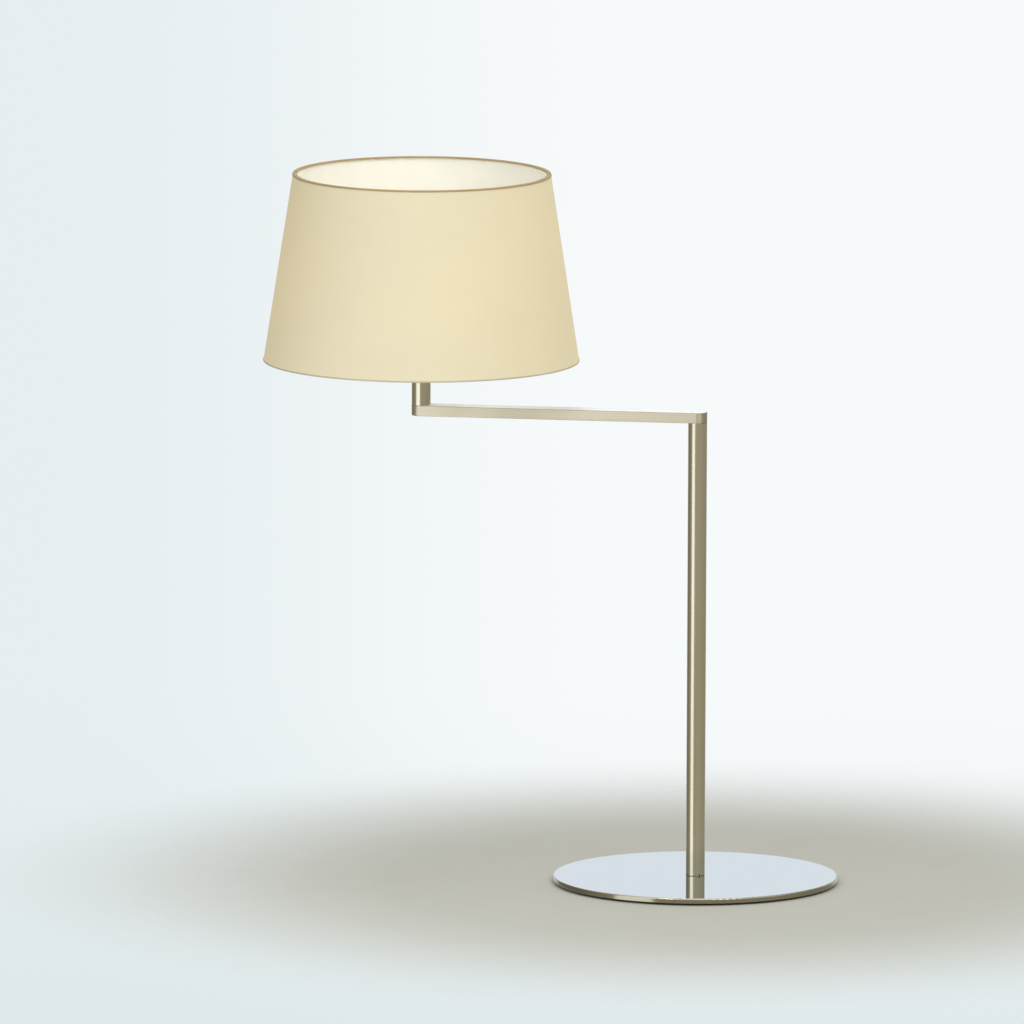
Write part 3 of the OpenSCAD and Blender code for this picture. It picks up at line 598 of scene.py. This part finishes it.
# %% Weave
weave, start, end = new_group(
    "plain_weave", [("Flat", VECTOR, None), ("Threads per metre", FLOAT, 1700.0)],
    [("Height", FLOAT), ("Slubs", FLOAT)])
spread = put(weave, "ShaderNodeVectorMath", {"operation": "SCALE"},
             in0=start.outputs["Flat"], Scale=start.outputs["Threads per metre"])
thread = put(weave, "ShaderNodeSeparateXYZ", Vector=spread.outputs[0])
waves_round = math_node(weave, "SINE", math_node(weave, "MULTIPLY", thread.outputs["X"], math.pi))
waves_up = math_node(weave, "SINE", math_node(weave, "MULTIPLY", thread.outputs["Y"], math.pi))
crossing = math_node(weave, "MULTIPLY", waves_round, waves_up)
level_lines = stretched_noise(weave, start.outputs["Flat"], (28.0, 1500.0, 1.0))
upright_lines = stretched_noise(weave, start.outputs["Flat"], (1500.0, 28.0, 1.0))
slubs = math_node(weave, "ADD", math_node(weave, "MULTIPLY", level_lines, 0.6),
                  math_node(weave, "MULTIPLY", upright_lines, 0.4))
weave.links.new(math_node(weave, "ADD", math_node(weave, "MULTIPLY", crossing, 0.35), slubs),
                end.inputs["Height"])
weave.links.new(remap(weave, slubs, 0.38, 0.62, 0.0, 1.0), end.inputs["Slubs"])
print("made", weave.name)

# %% [markdown]
# **Bulb light** is how strongly the bulb shines through a sheet at each height: most at the level of
# the glass, and less towards both edges. It is a smooth hump that depends on height only, so the shade
# glows the same from every side.

# %% Bulb light
bulb_light, start, end = new_group(
    "bulb_light", [("Height", FLOAT, 0.0), ("Middle", FLOAT, 0.585), ("Reach", FLOAT, 0.13)],
    [("Light", FLOAT)])
above_middle = math_node(bulb_light, "SUBTRACT", start.outputs["Height"], start.outputs["Middle"])
away = math_node(bulb_light, "DIVIDE", above_middle, start.outputs["Reach"])
falling = math_node(bulb_light, "MULTIPLY", math_node(bulb_light, "MULTIPLY", away, away), -0.5)
bulb_light.links.new(math_node(bulb_light, "EXPONENT", falling), end.inputs["Light"])
print("made", bulb_light.name)

# %% [markdown]
# ## Satin nickel
# The pole and the stem are brushed along their length and plated with nickel, which is a warm grey.
# Streaks change the colour, the roughness and the height a little, and faint smudges the roughness.
# Where the pole meets the plate, a thin dark band is painted round its foot as painted shadow.

# %% Satin nickel for tubes
NICKEL = (0.700, 0.640, 0.520, 1.0)
NICKEL_DEEP = (0.640, 0.575, 0.450, 1.0)
# Painted shadow: a thin dark band round the pole's foot, just above the plate.
FOOT_SHADOW = (0.10, 0.08, 0.05, 1.0)
FOOT_SHADOW_FULL = 0.0004
FOOT_SHADOW_GONE = 0.0009
FOOT_SHADOW_SHARE = 0.65


def satin_nickel(name, fineness, rough, relief):
    material, tree, shader, at = new_finish(name)
    lines = use_group(tree, grain, Place=at, Fineness=fineness)
    marks = use_group(tree, handling, Place=at)
    streak_share = remap(tree, lines.outputs["Streaks"], 0.35, 0.65, 0.0, 1.0)
    colour = blend_colours(tree, streak_share, NICKEL_DEEP, NICKEL)
    smudged = math_node(tree, "MULTIPLY", marks.outputs["Smudge"], 0.04)
    streaked = math_node(tree, "MULTIPLY", lines.outputs["Streaks"], 0.10)
    roughness = math_node(tree, "ADD", math_node(tree, "ADD", smudged, streaked), rough)
    set_shader(tree, shader, Base_Color=colour, Metallic=1.0, Roughness=roughness,
               Normal=bump(tree, lines.outputs["Height"], relief, 0.6))
    return material, tree, shader, at


tube_nickel, tree, shader, at = satin_nickel(
    "nickel_tube", fineness=(2500.0, 2500.0, 10.0), rough=0.15, relief=0.0000005)
plate_top = level("base_plate", True)
tube_z = put(tree, "ShaderNodeSeparateXYZ", Vector=at).outputs["Z"]
# Paints the shadow band on the pole just above the plate.
in_foot_shadow = remap(tree, tube_z, plate_top + FOOT_SHADOW_FULL, plate_top + FOOT_SHADOW_GONE, FOOT_SHADOW_SHARE, 0.0)
set_shader(tree, shader, Base_Color=blend_colours(tree, in_foot_shadow, colour_so_far(shader), FOOT_SHADOW))
print("made", tube_nickel.name)

# %% [markdown]
# The arm is a flat bar, brushed lengthwise. Long scratches spread a reflection across themselves, so the
# bar's face catches light from high above that the round pole doesn't show. The shader's anisotropy does
# this: its tangent points across the scratches, upwards on the sides and sideways on the top. The
# tangent is turned from the arm's own axes, so it follows the arm as it swings. The top is painted paler
# than the sides, a painted reflection of the bright backdrop, and a thin dark line is painted just below
# its sharp corner, the arris, as painted shade.

# %% Satin nickel for the arm
# Painted reflection on the arm's top, and a painted shade line below the arris.
ARM_TOP_PAINTED_REFLECTION = (0.80, 0.80, 0.79, 1.0)
ARRIS_PAINTED_SHADE = (0.22, 0.17, 0.11, 1.0)
ARRIS_SHADE_SHARE = 0.7
ARRIS_FOOT = 0.0007
ARRIS_FULL = 0.0004
ARRIS_FADES = 0.0002
ARRIS_GONE = 0.00005
TOP_BEGINS = 0.0001
TOP_FULL = 0.00002
arm_nickel, tree, shader, at = satin_nickel(
    "nickel_bar", fineness=(12.0, 2500.0, 2500.0), rough=0.40, relief=0.000002)
object_to_world = {"vector_type": "VECTOR", "convert_from": "OBJECT", "convert_to": "WORLD"}
across = put(tree, "ShaderNodeVectorTransform", object_to_world, Vector=(0.0, 0.5, 1.0))
arm_top = level("arm_body", True)
arm_z = put(tree, "ShaderNodeSeparateXYZ", Vector=at).outputs["Z"]
# Masks for the painted shade line under the arris and the painted paler top.
above_sides = remap(tree, arm_z, arm_top - ARRIS_FOOT, arm_top - ARRIS_FULL, 0.0, ARRIS_SHADE_SHARE)
below_top = remap(tree, arm_z, arm_top - ARRIS_FADES, arm_top - ARRIS_GONE, 1.0, 0.0)
on_arris_shade = math_node(tree, "MULTIPLY", above_sides, below_top)
on_painted_top = remap(tree, arm_z, arm_top - TOP_BEGINS, arm_top - TOP_FULL, 0.0, 1.0)
colour = blend_colours(tree, on_painted_top, colour_so_far(shader), ARM_TOP_PAINTED_REFLECTION)
colour = blend_colours(tree, on_arris_shade, colour, ARRIS_PAINTED_SHADE)
set_shader(tree, shader, Base_Color=colour, Anisotropic=0.85, Tangent=across.outputs[0])
print("made", arm_nickel.name)

# %% [markdown]
# ## The polished base
# The plate's top is polished like a mirror, and its rounded edge is a little duller, where the wheel
# can't lie flat. The mirror's colour is tinted pale blue, a painted reflection of the backdrop, and the
# edge is painted darker and warmer, as painted shade. Distance from the pole's axis tells the two apart.
# Fine rings from the polishing, a few smudges and some dust keep the mirror from looking empty.

# %% Mirror nickel
# Painted reflection: the mirror's pale blue tint. Painted shade: the edge's darker, warmer colour.
MIRROR_PAINTED_BLUE = (0.68, 0.745, 0.775, 1.0)
PLATE_EDGE_PAINTED_SHADE = (0.42, 0.38, 0.29, 1.0)
MIRROR_ENDS = 0.0014
EDGE_BEGINS = 0.0006
mirror_nickel, tree, shader, at = new_finish("mirror_nickel")
base_r = half_width("base_plate")
place = put(tree, "ShaderNodeSeparateXYZ", Vector=at)
x_squared = math_node(tree, "MULTIPLY", place.outputs["X"], place.outputs["X"])
y_squared = math_node(tree, "MULTIPLY", place.outputs["Y"], place.outputs["Y"])
radius = math_node(tree, "SQRT", math_node(tree, "ADD", x_squared, y_squared))
edge_share = remap(tree, radius, base_r - MIRROR_ENDS, base_r - EDGE_BEGINS, 0.0, 1.0)
rings = put(tree, "ShaderNodeTexNoise", {"noise_dimensions": "1D"}, W=radius, Scale=2500.0).outputs["Fac"]
marks = use_group(tree, handling, Place=at, Size=14.0)
smudged = math_node(tree, "MULTIPLY", marks.outputs["Smudge"], 0.025)
dusty = math_node(tree, "MULTIPLY", marks.outputs["Dust"], 0.05)
ringed = math_node(tree, "MULTIPLY", rings, 0.01)
polish = math_node(tree, "ADD", math_node(tree, "ADD", math_node(tree, "ADD", smudged, dusty), ringed), 0.02)
roughness = math_node(tree, "ADD", polish, math_node(tree, "MULTIPLY", edge_share, 0.12))
# Paints the blue reflection on the top and the shade on the rounded edge.
colour = blend_colours(tree, edge_share, MIRROR_PAINTED_BLUE, PLATE_EDGE_PAINTED_SHADE)
set_shader(tree, shader, Base_Color=colour, Metallic=1.0, Roughness=roughness,
           Normal=bump(tree, rings, 0.0000006, 0.3))
print("made", mirror_nickel.name, "base radius", round(base_r, 4))

# %% [markdown]
# ## Small metal parts
# Screws, plugs, bolts and washers are plain turned steel, terminals and contacts are brass, and the
# bulb's cap is pale aluminium. They share one recipe: a base colour that grain and smudges darken, and a
# roughness that the grain changes.

# %% Turned steel, brass and aluminium
def turned_metal(name, light, dark, rough):
    material, tree, shader, at = new_finish(name)
    lines = use_group(tree, grain, Place=at, Fineness=(900.0, 900.0, 5000.0))
    marks = use_group(tree, handling, Place=at, Size=160.0)
    colour = blend_colours(tree, math_node(tree, "MULTIPLY", marks.outputs["Smudge"], 0.6), light, dark)
    colour = blend_colours(tree, math_node(tree, "MULTIPLY", lines.outputs["Streaks"], 0.3), colour, dark)
    roughness = math_node(tree, "ADD", math_node(tree, "MULTIPLY", lines.outputs["Streaks"], 0.2), rough)
    set_shader(tree, shader, Base_Color=colour, Metallic=1.0, Roughness=roughness,
               Normal=bump(tree, lines.outputs["Height"], 0.00002, 0.5))
    return material


plain_steel = turned_metal("turned_steel", (0.62, 0.61, 0.59, 1.0), (0.40, 0.39, 0.37, 1.0), 0.22)
brass = turned_metal("terminal_brass", (0.80, 0.60, 0.28, 1.0), (0.52, 0.36, 0.14, 1.0), 0.20)
cap_metal = turned_metal("bulb_cap_metal", (0.78, 0.78, 0.77, 1.0), (0.52, 0.52, 0.50, 1.0), 0.18)

# %% [markdown]
# ## Plastics, ceramic, felt and paint
# Moulded plastic has a very fine skin texture, and smudges dull and darken it a little. The same recipe
# serves the white lampholder, the black bush and insulator, the glazed ceramic, the painted wire and the
# sleeves of the leads, each with its own colours, grain size and gloss.

# %% Moulded and coated finishes
def moulded(name, light, dark, rough, skin_scale, skin_depth, coat=0.0):
    material, tree, shader, at = new_finish(name)
    marks = use_group(tree, handling, Place=at, Size=60.0)
    skin = put(tree, "ShaderNodeTexNoise", Vector=at, Scale=skin_scale, Detail=3.0).outputs["Fac"]
    colour = blend_colours(tree, math_node(tree, "MULTIPLY", marks.outputs["Smudge"], 0.5), light, dark)
    roughness = math_node(tree, "ADD", math_node(tree, "MULTIPLY", marks.outputs["Smudge"], 0.08), rough)
    set_shader(tree, shader, Base_Color=colour, Roughness=roughness, Coat_Weight=coat,
               Normal=bump(tree, skin, skin_depth, 0.5))
    return material


white_plastic = moulded(
    "lampholder_white", (0.83, 0.81, 0.75, 1.0), (0.76, 0.73, 0.65, 1.0),
    rough=0.30, skin_scale=1500.0, skin_depth=0.00003)
black_nylon = moulded(
    "bush_black", (0.018, 0.017, 0.016, 1.0), (0.035, 0.033, 0.030, 1.0),
    rough=0.45, skin_scale=2500.0, skin_depth=0.00005)
glazed_ceramic = moulded(
    "insert_ceramic", (0.86, 0.83, 0.76, 1.0), (0.74, 0.70, 0.61, 1.0),
    rough=0.14, skin_scale=500.0, skin_depth=0.00004, coat=0.6)
painted_wire = moulded(
    "frame_paint", (0.80, 0.79, 0.74, 1.0), (0.70, 0.68, 0.62, 1.0),
    rough=0.35, skin_scale=700.0, skin_depth=0.00006)
lead_sleeve = moulded(
    "lead_sleeve", (0.45, 0.06, 0.04, 1.0), (0.33, 0.04, 0.03, 1.0),
    rough=0.42, skin_scale=1800.0, skin_depth=0.00006)

# %% [markdown]
# The pad under the base is pressed felt: short fibres that lie every way, almost black, with the odd
# paler one. Fine noise makes the fibres, and a soft sheen catches light at its rim.

# %% Felt
felt, tree, shader, at = new_finish("base_felt")
fibres = put(tree, "ShaderNodeTexNoise", Vector=at, Scale=1400.0, Detail=6.0, Distortion=1.5).outputs["Fac"]
tufts = put(tree, "ShaderNodeTexNoise", Vector=at, Scale=120.0, Detail=3.0).outputs["Fac"]
share = remap(tree, math_node(tree, "MULTIPLY", fibres, tufts), 0.16, 0.40, 0.0, 1.0)
colour = blend_colours(tree, share, (0.010, 0.010, 0.012, 1.0), (0.045, 0.045, 0.050, 1.0))
set_shader(tree, shader, Base_Color=colour, Roughness=0.95, Sheen_Weight=0.3, Sheen_Roughness=0.6,
           Normal=bump(tree, fibres, 0.0004, 0.8))
print("made", felt.name)

# %% [markdown]
# ## The lit shade
# The cloth is a cream cotton, and the bulb inside makes it glow. A real bulb would need a long, grainy
# render to shine through cloth, so the glow is given to the cloth itself, by height. Thick threads let
# less light through, so the slubs darken the glow a little and warm it.

# %% Cloth
CLOTH_DAY = (0.560, 0.555, 0.480, 1.0)
CLOTH_DAY_SLUB = (0.540, 0.530, 0.445, 1.0)
GLOW_NEAR_BULB = (0.780, 0.530, 0.120, 1.0)
GLOW_AT_EDGE = (0.690, 0.490, 0.130, 1.0)
GLOW_SLUB = (0.300, 0.200, 0.080, 1.0)
GLOW_REACH = 0.065
cloth_finish, tree, shader, at = new_finish("shade_cotton")
flat = use_group(tree, unrolled, Place=at)
threads = use_group(tree, weave, Flat=flat.outputs["Flat"])
light = use_group(tree, bulb_light, Height=flat.outputs["Height"], Reach=GLOW_REACH)
slub_share = math_node(tree, "MULTIPLY", threads.outputs["Slubs"], 0.5)
soft_spots = stretched_noise(tree, flat.outputs["Flat"], (9.0, 14.0, 1.0), 2.0)
evenness = remap(tree, soft_spots, 0.3, 0.7, 0.94, 1.0)
glow = blend_colours(tree, light.outputs["Light"], GLOW_AT_EDGE, GLOW_NEAR_BULB)
glow = blend_colours(tree, math_node(tree, "MULTIPLY", slub_share, 0.12), glow, GLOW_SLUB)
glow = blend_colours(tree, evenness, (0.0, 0.0, 0.0, 1.0), glow)
colour = blend_colours(tree, slub_share, CLOTH_DAY, CLOTH_DAY_SLUB)
set_shader(tree, shader, Base_Color=colour, Roughness=0.85, Sheen_Weight=0.08, Sheen_Roughness=0.5,
           Emission_Color=glow, Emission_Strength=0.42,
           Normal=bump(tree, threads.outputs["Height"], 0.00008, 0.5))
cloth.data.materials.append(cloth_finish)
print("made", cloth_finish.name)

# %% [markdown]
# The lining is a stiff white sheet behind the cloth. It faces the bulb, so it is brighter than the cloth,
# and part of the bulb's light on it is painted in as a faint glow by height. Glue and the cloth's
# threads show through it as a very faint mottling.

# %% Lining
lining_finish, tree, shader, at = new_finish("shade_lining_white")
flat = use_group(tree, unrolled, Place=at)
light = use_group(tree, bulb_light, Height=flat.outputs["Height"], Middle=0.600, Reach=0.12)
mottle = stretched_noise(tree, flat.outputs["Flat"], (60.0, 60.0, 1.0), 4.0)
mottle_share = remap(tree, mottle, 0.35, 0.65, 0.0, 1.0)
white = blend_colours(tree, mottle_share, (0.90, 0.90, 0.84, 1.0), (0.92, 0.92, 0.87, 1.0))
# Painted light: the bulb's glow on the lining, strongest at the bulb's height.
glow = blend_colours(tree, light.outputs["Light"], (0.50, 0.42, 0.28, 1.0), (1.0, 0.90, 0.68, 1.0))
set_shader(tree, shader, Base_Color=white, Roughness=0.5, Emission_Color=glow, Emission_Strength=0.08,
           Normal=bump(tree, mottle, 0.00003, 0.5))
print("made", lining_finish.name)

# %% [markdown]
# The edge tape is a ribbed ribbon, brown along the top edge and cream along the lower one. Its ribs run
# across it, so a wave that follows the way round gives them, and the hollows between the ribs are painted
# darker, as painted shade. Both tapes also give off a faint painted glow in their own colours.

# %% Edge tape
RIBS_PER_METRE = 1100.0


def ribbed_tape(name, crest, shaded_hollow, glow_strength):
    material, tree, shader, at = new_finish(name)
    flat = use_group(tree, unrolled, Place=at)
    turns = math_node(tree, "MULTIPLY", flat.outputs["Around"], math.tau * RIBS_PER_METRE)
    rib = math_node(tree, "SINE", turns)
    worn = stretched_noise(tree, flat.outputs["Flat"], (40.0, 400.0, 1.0))
    share = math_node(tree, "ADD", math_node(tree, "MULTIPLY", rib, 0.3), worn)
    # Painted shade in the rib hollows; the colour also goes out as a faint painted glow.
    colour = blend_colours(tree, share, shaded_hollow, crest)
    set_shader(tree, shader, Base_Color=colour, Roughness=0.8, Sheen_Weight=0.1, Emission_Color=colour,
               Emission_Strength=glow_strength, Normal=bump(tree, rib, 0.0001, 0.5))
    return material


top_tape_finish = ribbed_tape("top_tape", linear(190, 166, 118), linear(158, 132, 86), glow_strength=0.04)
bottom_tape_finish = ribbed_tape(
    "bottom_tape", linear(212, 204, 172), linear(184, 176, 144), glow_strength=0.06)
top_edging.data.materials.append(top_tape_finish)
bottom_edging.data.materials.append(bottom_tape_finish)
print("made", top_tape_finish.name, "and", bottom_tape_finish.name)

# %% [markdown]
# The bulb is opal glass, so it glows all over and hides what is inside. It is a little brighter round
# its middle than at its neck.

# %% Opal glass
opal, tree, shader, at = new_finish("opal_glass")
split = put(tree, "ShaderNodeSeparateXYZ", Vector=at)
upwards = remap(tree, split.outputs["Z"], seat_z, ball_z, 0.0, 1.0)
cloud = put(tree, "ShaderNodeTexNoise", Vector=at, Scale=45.0, Detail=2.0).outputs["Fac"]
upwards = math_node(tree, "MULTIPLY", upwards, remap(tree, cloud, 0.3, 0.7, 0.92, 1.0))
glow = blend_colours(tree, upwards, (0.90, 0.60, 0.30, 1.0), (1.0, 0.86, 0.62, 1.0))
colour = blend_colours(tree, cloud, (0.86, 0.84, 0.78, 1.0), (0.92, 0.90, 0.86, 1.0))
set_shader(tree, shader, Base_Color=colour, Roughness=0.12, Emission_Color=glow, Emission_Strength=1.8,
           Normal=bump(tree, cloud, 0.00002, 0.3))
globe.data.materials.append(opal)
screw_cap.data.materials.append(cap_metal)
grip_ring.data.materials.append(white_plastic)
print("made", opal.name)

# %% [markdown]
# ## Give every exact part its finish
# Every exact part is named here once, by finish. Each one's material slots are filled, and a count shows
# that none was missed.

# %% Dress the exact parts
finishes = {
    mirror_nickel: ["base_plate"],
    tube_nickel: ["pole_tube", "stem_tube"],
    arm_nickel: ["arm_body", "arm_cover"],
    felt: ["base_pad"],
    plain_steel: [
        "foot_screw", "foot_pin", "pole_foot_plug", "pole_top_plug", "plug_screw", "pole_stop_pin",
        "cover_screws", "arm_pivot", "pole_disc_spring", "stem_foot_plug", "stem_pivot",
        "stem_disc_spring", "stem_stop_pin", "stem_top_plug", "terminal_screws", "pole_washer",
        "stem_washer"],
    brass: ["holder_nipple", "holder_terminals", "holder_thread", "holder_contact", "bulb_contact"],
    cap_metal: ["bulb_cap"],
    white_plastic: ["holder_cap", "holder_shell", "shade_ring"],
    black_nylon: ["cord_bush", "bulb_insulator"],
    glazed_ceramic: ["holder_insert"],
    painted_wire: ["shade_frame", "shade_bottom_wire", "shade_top_wire"],
    lead_sleeve: ["pole_wires", "arm_wires", "stem_wires"],
    cloth_finish: ["shade_cloth"],
    lining_finish: ["shade_lining"],
    top_tape_finish: ["shade_top_tape"],
    bottom_tape_finish: ["shade_bottom_tape"],
    opal: ["bulb_glass"],
}
dressed = 0
for finish, names in finishes.items():
    for name in names:
        part = nodes[name]
        if not part.material_slots:
            part.data.materials.append(finish)
        for slot in part.material_slots:
            slot.material = finish
        dressed += 1
print("dressed", dressed, "of", len(nodes))

# %% [markdown]
# ## The room
# The lamp stands on a plain pale floor in a bright, soft room. The floor is a wide disc that fades away
# long before its rim, so no edge shows. Reflections hold only the part of it that is right beside the
# base, and the backdrop and the lights beyond that.

# %% The floor
FLOOR_R = 1.1
FLOOR_FADE = 0.26
FLOOR_GONE = 0.748
HIDING_STARTS = 0.001
HIDING_ENDS = 0.012
deselect()
bpy.ops.mesh.primitive_circle_add(vertices=128, radius=FLOOR_R, fill_type="TRIFAN", location=(0, 0, 0))
floor = bpy.context.object
floor.name = floor.data.name = "floor"
floor_finish, tree, shader, at = new_finish("pale_floor")
place = put(tree, "ShaderNodeVectorMath", {"operation": "LENGTH"}, in0=at).outputs["Value"]
fade = remap(tree, place, FLOOR_FADE, FLOOR_GONE, 1.0, 0.0)
mirrored = put(tree, "ShaderNodeLightPath").outputs["Is Glossy Ray"]
past_base = remap(tree, place, base_r + HIDING_STARTS, base_r + HIDING_ENDS, 0.0, 1.0)
shown = math_node(tree, "SUBTRACT", 1.0, math_node(tree, "MULTIPLY", mirrored, past_base))
mottle = put(tree, "ShaderNodeTexNoise", Vector=at, Scale=18.0, Detail=6.0).outputs["Fac"]
colour = blend_colours(tree, mottle, linear(185, 184, 172), linear(191, 190, 178))
set_shader(tree, shader, Base_Color=colour, Roughness=0.7, Alpha=math_node(tree, "MULTIPLY", fade, shown))
floor.data.materials.append(floor_finish)
print("floor radius", FLOOR_R)

# %% [markdown]
# The backdrop is the sky of the scene, and it has three looks, one for each use. Seen directly it is a
# pale blue that brightens to the right and dims a little below. Polished metal reflects a room that is
# dim and warm in front, and cool and bright behind and overhead. Matt surfaces are lit by a soft fill
# that is nearly dark on the left, which rounds the shade.

# %% The backdrop
SEEN_LEFT = linear(230, 238, 241)
SEEN_RIGHT = linear(247, 250, 251)
SEEN_BELOW = linear(222, 232, 235)
ROOM_FRONT = (0.41, 0.40, 0.32, 1.0)
ROOM_SIDES = (0.03, 0.025, 0.02, 1.0)
ROOM_BEHIND = (0.83, 0.87, 0.915, 1.0)
ROOM_ABOVE = (0.95, 0.97, 1.0, 1.0)
FILL_LEFT = (0.02, 0.02, 0.02, 1.0)
FILL_RIGHT = (0.50, 0.49, 0.46, 1.0)
FILL_BEHIND = (0.62, 0.62, 0.60, 1.0)
FILL_ABOVE = (0.72, 0.73, 0.74, 1.0)
BEHIND = Vector((-towards_camera.x, -towards_camera.y, 0)).normalized()
SIDE = Vector((BEHIND.y, -BEHIND.x, 0))
world = bpy.data.worlds.new("soft_room")
bpy.context.scene.world = world
world.use_nodes = True
tree = world.node_tree
tree.nodes.clear()
look = put(tree, "ShaderNodeTexCoord").outputs["Generated"]
dot = {"operation": "DOT_PRODUCT"}
behind = put(tree, "ShaderNodeVectorMath", dot, in0=look, in1=BEHIND).outputs["Value"]
sideways = put(tree, "ShaderNodeVectorMath", dot, in0=look, in1=SIDE).outputs["Value"]
height = put(tree, "ShaderNodeSeparateXYZ", Vector=look).outputs["Z"]
overhead = remap(tree, height, 0.35, 0.75, 0.0, 1.0)
to_the_right = remap(tree, sideways, -0.022, 0.006, 0.0, 1.0)
above_floor = remap(tree, height, -0.178, -0.158, 0.0, 1.0)
seen = blend_colours(tree, to_the_right, SEEN_LEFT, SEEN_RIGHT)
seen = blend_colours(tree, above_floor, SEEN_BELOW, seen)
past_front = remap(tree, behind, -0.5, 0.4, 0.0, 1.0)
less_on_the_right = remap(tree, sideways, -0.3, 0.3, 0.45, 0.15)
dimmed = math_node(tree, "MULTIPLY", past_front, less_on_the_right)
room = blend_colours(tree, dimmed, ROOM_FRONT, ROOM_SIDES)
room = blend_colours(tree, remap(tree, behind, 0.78, 0.94, 0.0, 1.0), room, ROOM_BEHIND)
room = blend_colours(tree, overhead, room, ROOM_ABOVE)
fill = blend_colours(tree, remap(tree, sideways, -0.8, 0.8, 0.0, 1.0), FILL_LEFT, FILL_RIGHT)
fill = blend_colours(tree, remap(tree, behind, 0.3, 0.9, 0.0, 1.0), fill, FILL_BEHIND)
fill = blend_colours(tree, overhead, fill, FILL_ABOVE)
ray = put(tree, "ShaderNodeLightPath")
colour = blend_colours(tree, ray.outputs["Is Diffuse Ray"], room, fill)
colour = blend_colours(tree, ray.outputs["Is Camera Ray"], colour, seen)
background = put(tree, "ShaderNodeBackground", Color=colour, Strength=1.0)
put(tree, "ShaderNodeOutputWorld", Surface=background.outputs[0])
bpy.context.scene.view_settings.view_transform = "Standard"
print("backdrop behind:", [round(v, 3) for v in BEHIND])

# %% [markdown]
# Lights do the rest. A large soft one hangs in front, above and to the right, and lights the cloth and
# the floor. Another hangs overhead. Two small ones face the arm's flat side, one from above and one from
# low down, where the shade doesn't stand in the way. A wide panel stands close by, in front and to the
# left, and draws the bright line down the pole and the stem. A small light in the bulb lights the inside
# of the shade, and turns with the head.

# %% The lights
LAMP_MIDDLE = Vector((-0.14, 0.0, 0.35))
ABOVE_STEM = Vector((stem_x, 0.0, cap_low))
ARM_END = Vector((stem_x, 0.0, arm_top))
PANEL_AWAY = 0.84
PANEL_AIM = Vector((-PANEL_AWAY, 0.0, 0.30))
BULB_GLOW_SIZE = 1.05


def soft_light(name, azimuth, height, distance, size, power, colour, aim=LAMP_MIDDLE):
    """A rectangle of light that faces its aim. Azimuth and height are in degrees."""
    data = bpy.data.lights.new(name, "AREA")
    data.shape = "RECTANGLE"
    data.size = size[0]
    data.size_y = size[1]
    data.energy = power
    data.color = colour
    light = bpy.data.objects.new(name, data)
    bpy.context.scene.collection.objects.link(light)
    outwards = direction(math.radians(azimuth), math.radians(height))
    light.location = aim + distance * outwards
    light.rotation_euler = outwards.to_track_quat("Z", "Y").to_euler()
    light.visible_camera = False


soft_light("front_light", azimuth=45, height=42, distance=2.4, size=(1.5, 1.2), power=16.0,
           colour=(1.0, 0.985, 0.96))
soft_light("bar_light", azimuth=-8.9, height=28, distance=2.2, size=(0.6, 0.9), power=6.5,
           colour=(0.95, 0.98, 1.0), aim=ABOVE_STEM)
soft_light("low_light", azimuth=-8.9, height=11, distance=2.2, size=(0.5, 0.3), power=3.0,
           colour=(0.90, 0.96, 1.0), aim=ARM_END)
soft_light("top_light", azimuth=0, height=88, distance=1.9, size=(1.5, 1.5), power=5.0,
           colour=(1.0, 1.0, 1.0))
soft_light("side_panel", azimuth=0, height=0, distance=PANEL_AWAY, size=(0.95, 1.3), power=4.6,
           colour=(0.86, 0.93, 1.0), aim=PANEL_AIM)
bulb_data = bpy.data.lights.new("bulb_glow", "POINT")
bulb_data.energy = 0.066
bulb_data.color = (0.93, 0.94, 0.83)
bulb_data.shadow_soft_size = ball_r * BULB_GLOW_SIZE
bulb_glow = bpy.data.objects.new("bulb_glow", bulb_data)
bpy.context.scene.collection.objects.link(bulb_glow)
bulb_glow.location = (stem_x, 0, ball_z)
bulb_glow.visible_camera = False
head = frame["bodies"]["head"]
bulb_glow.parent = head
bulb_glow.matrix_parent_inverse = head.matrix_world.inverted()
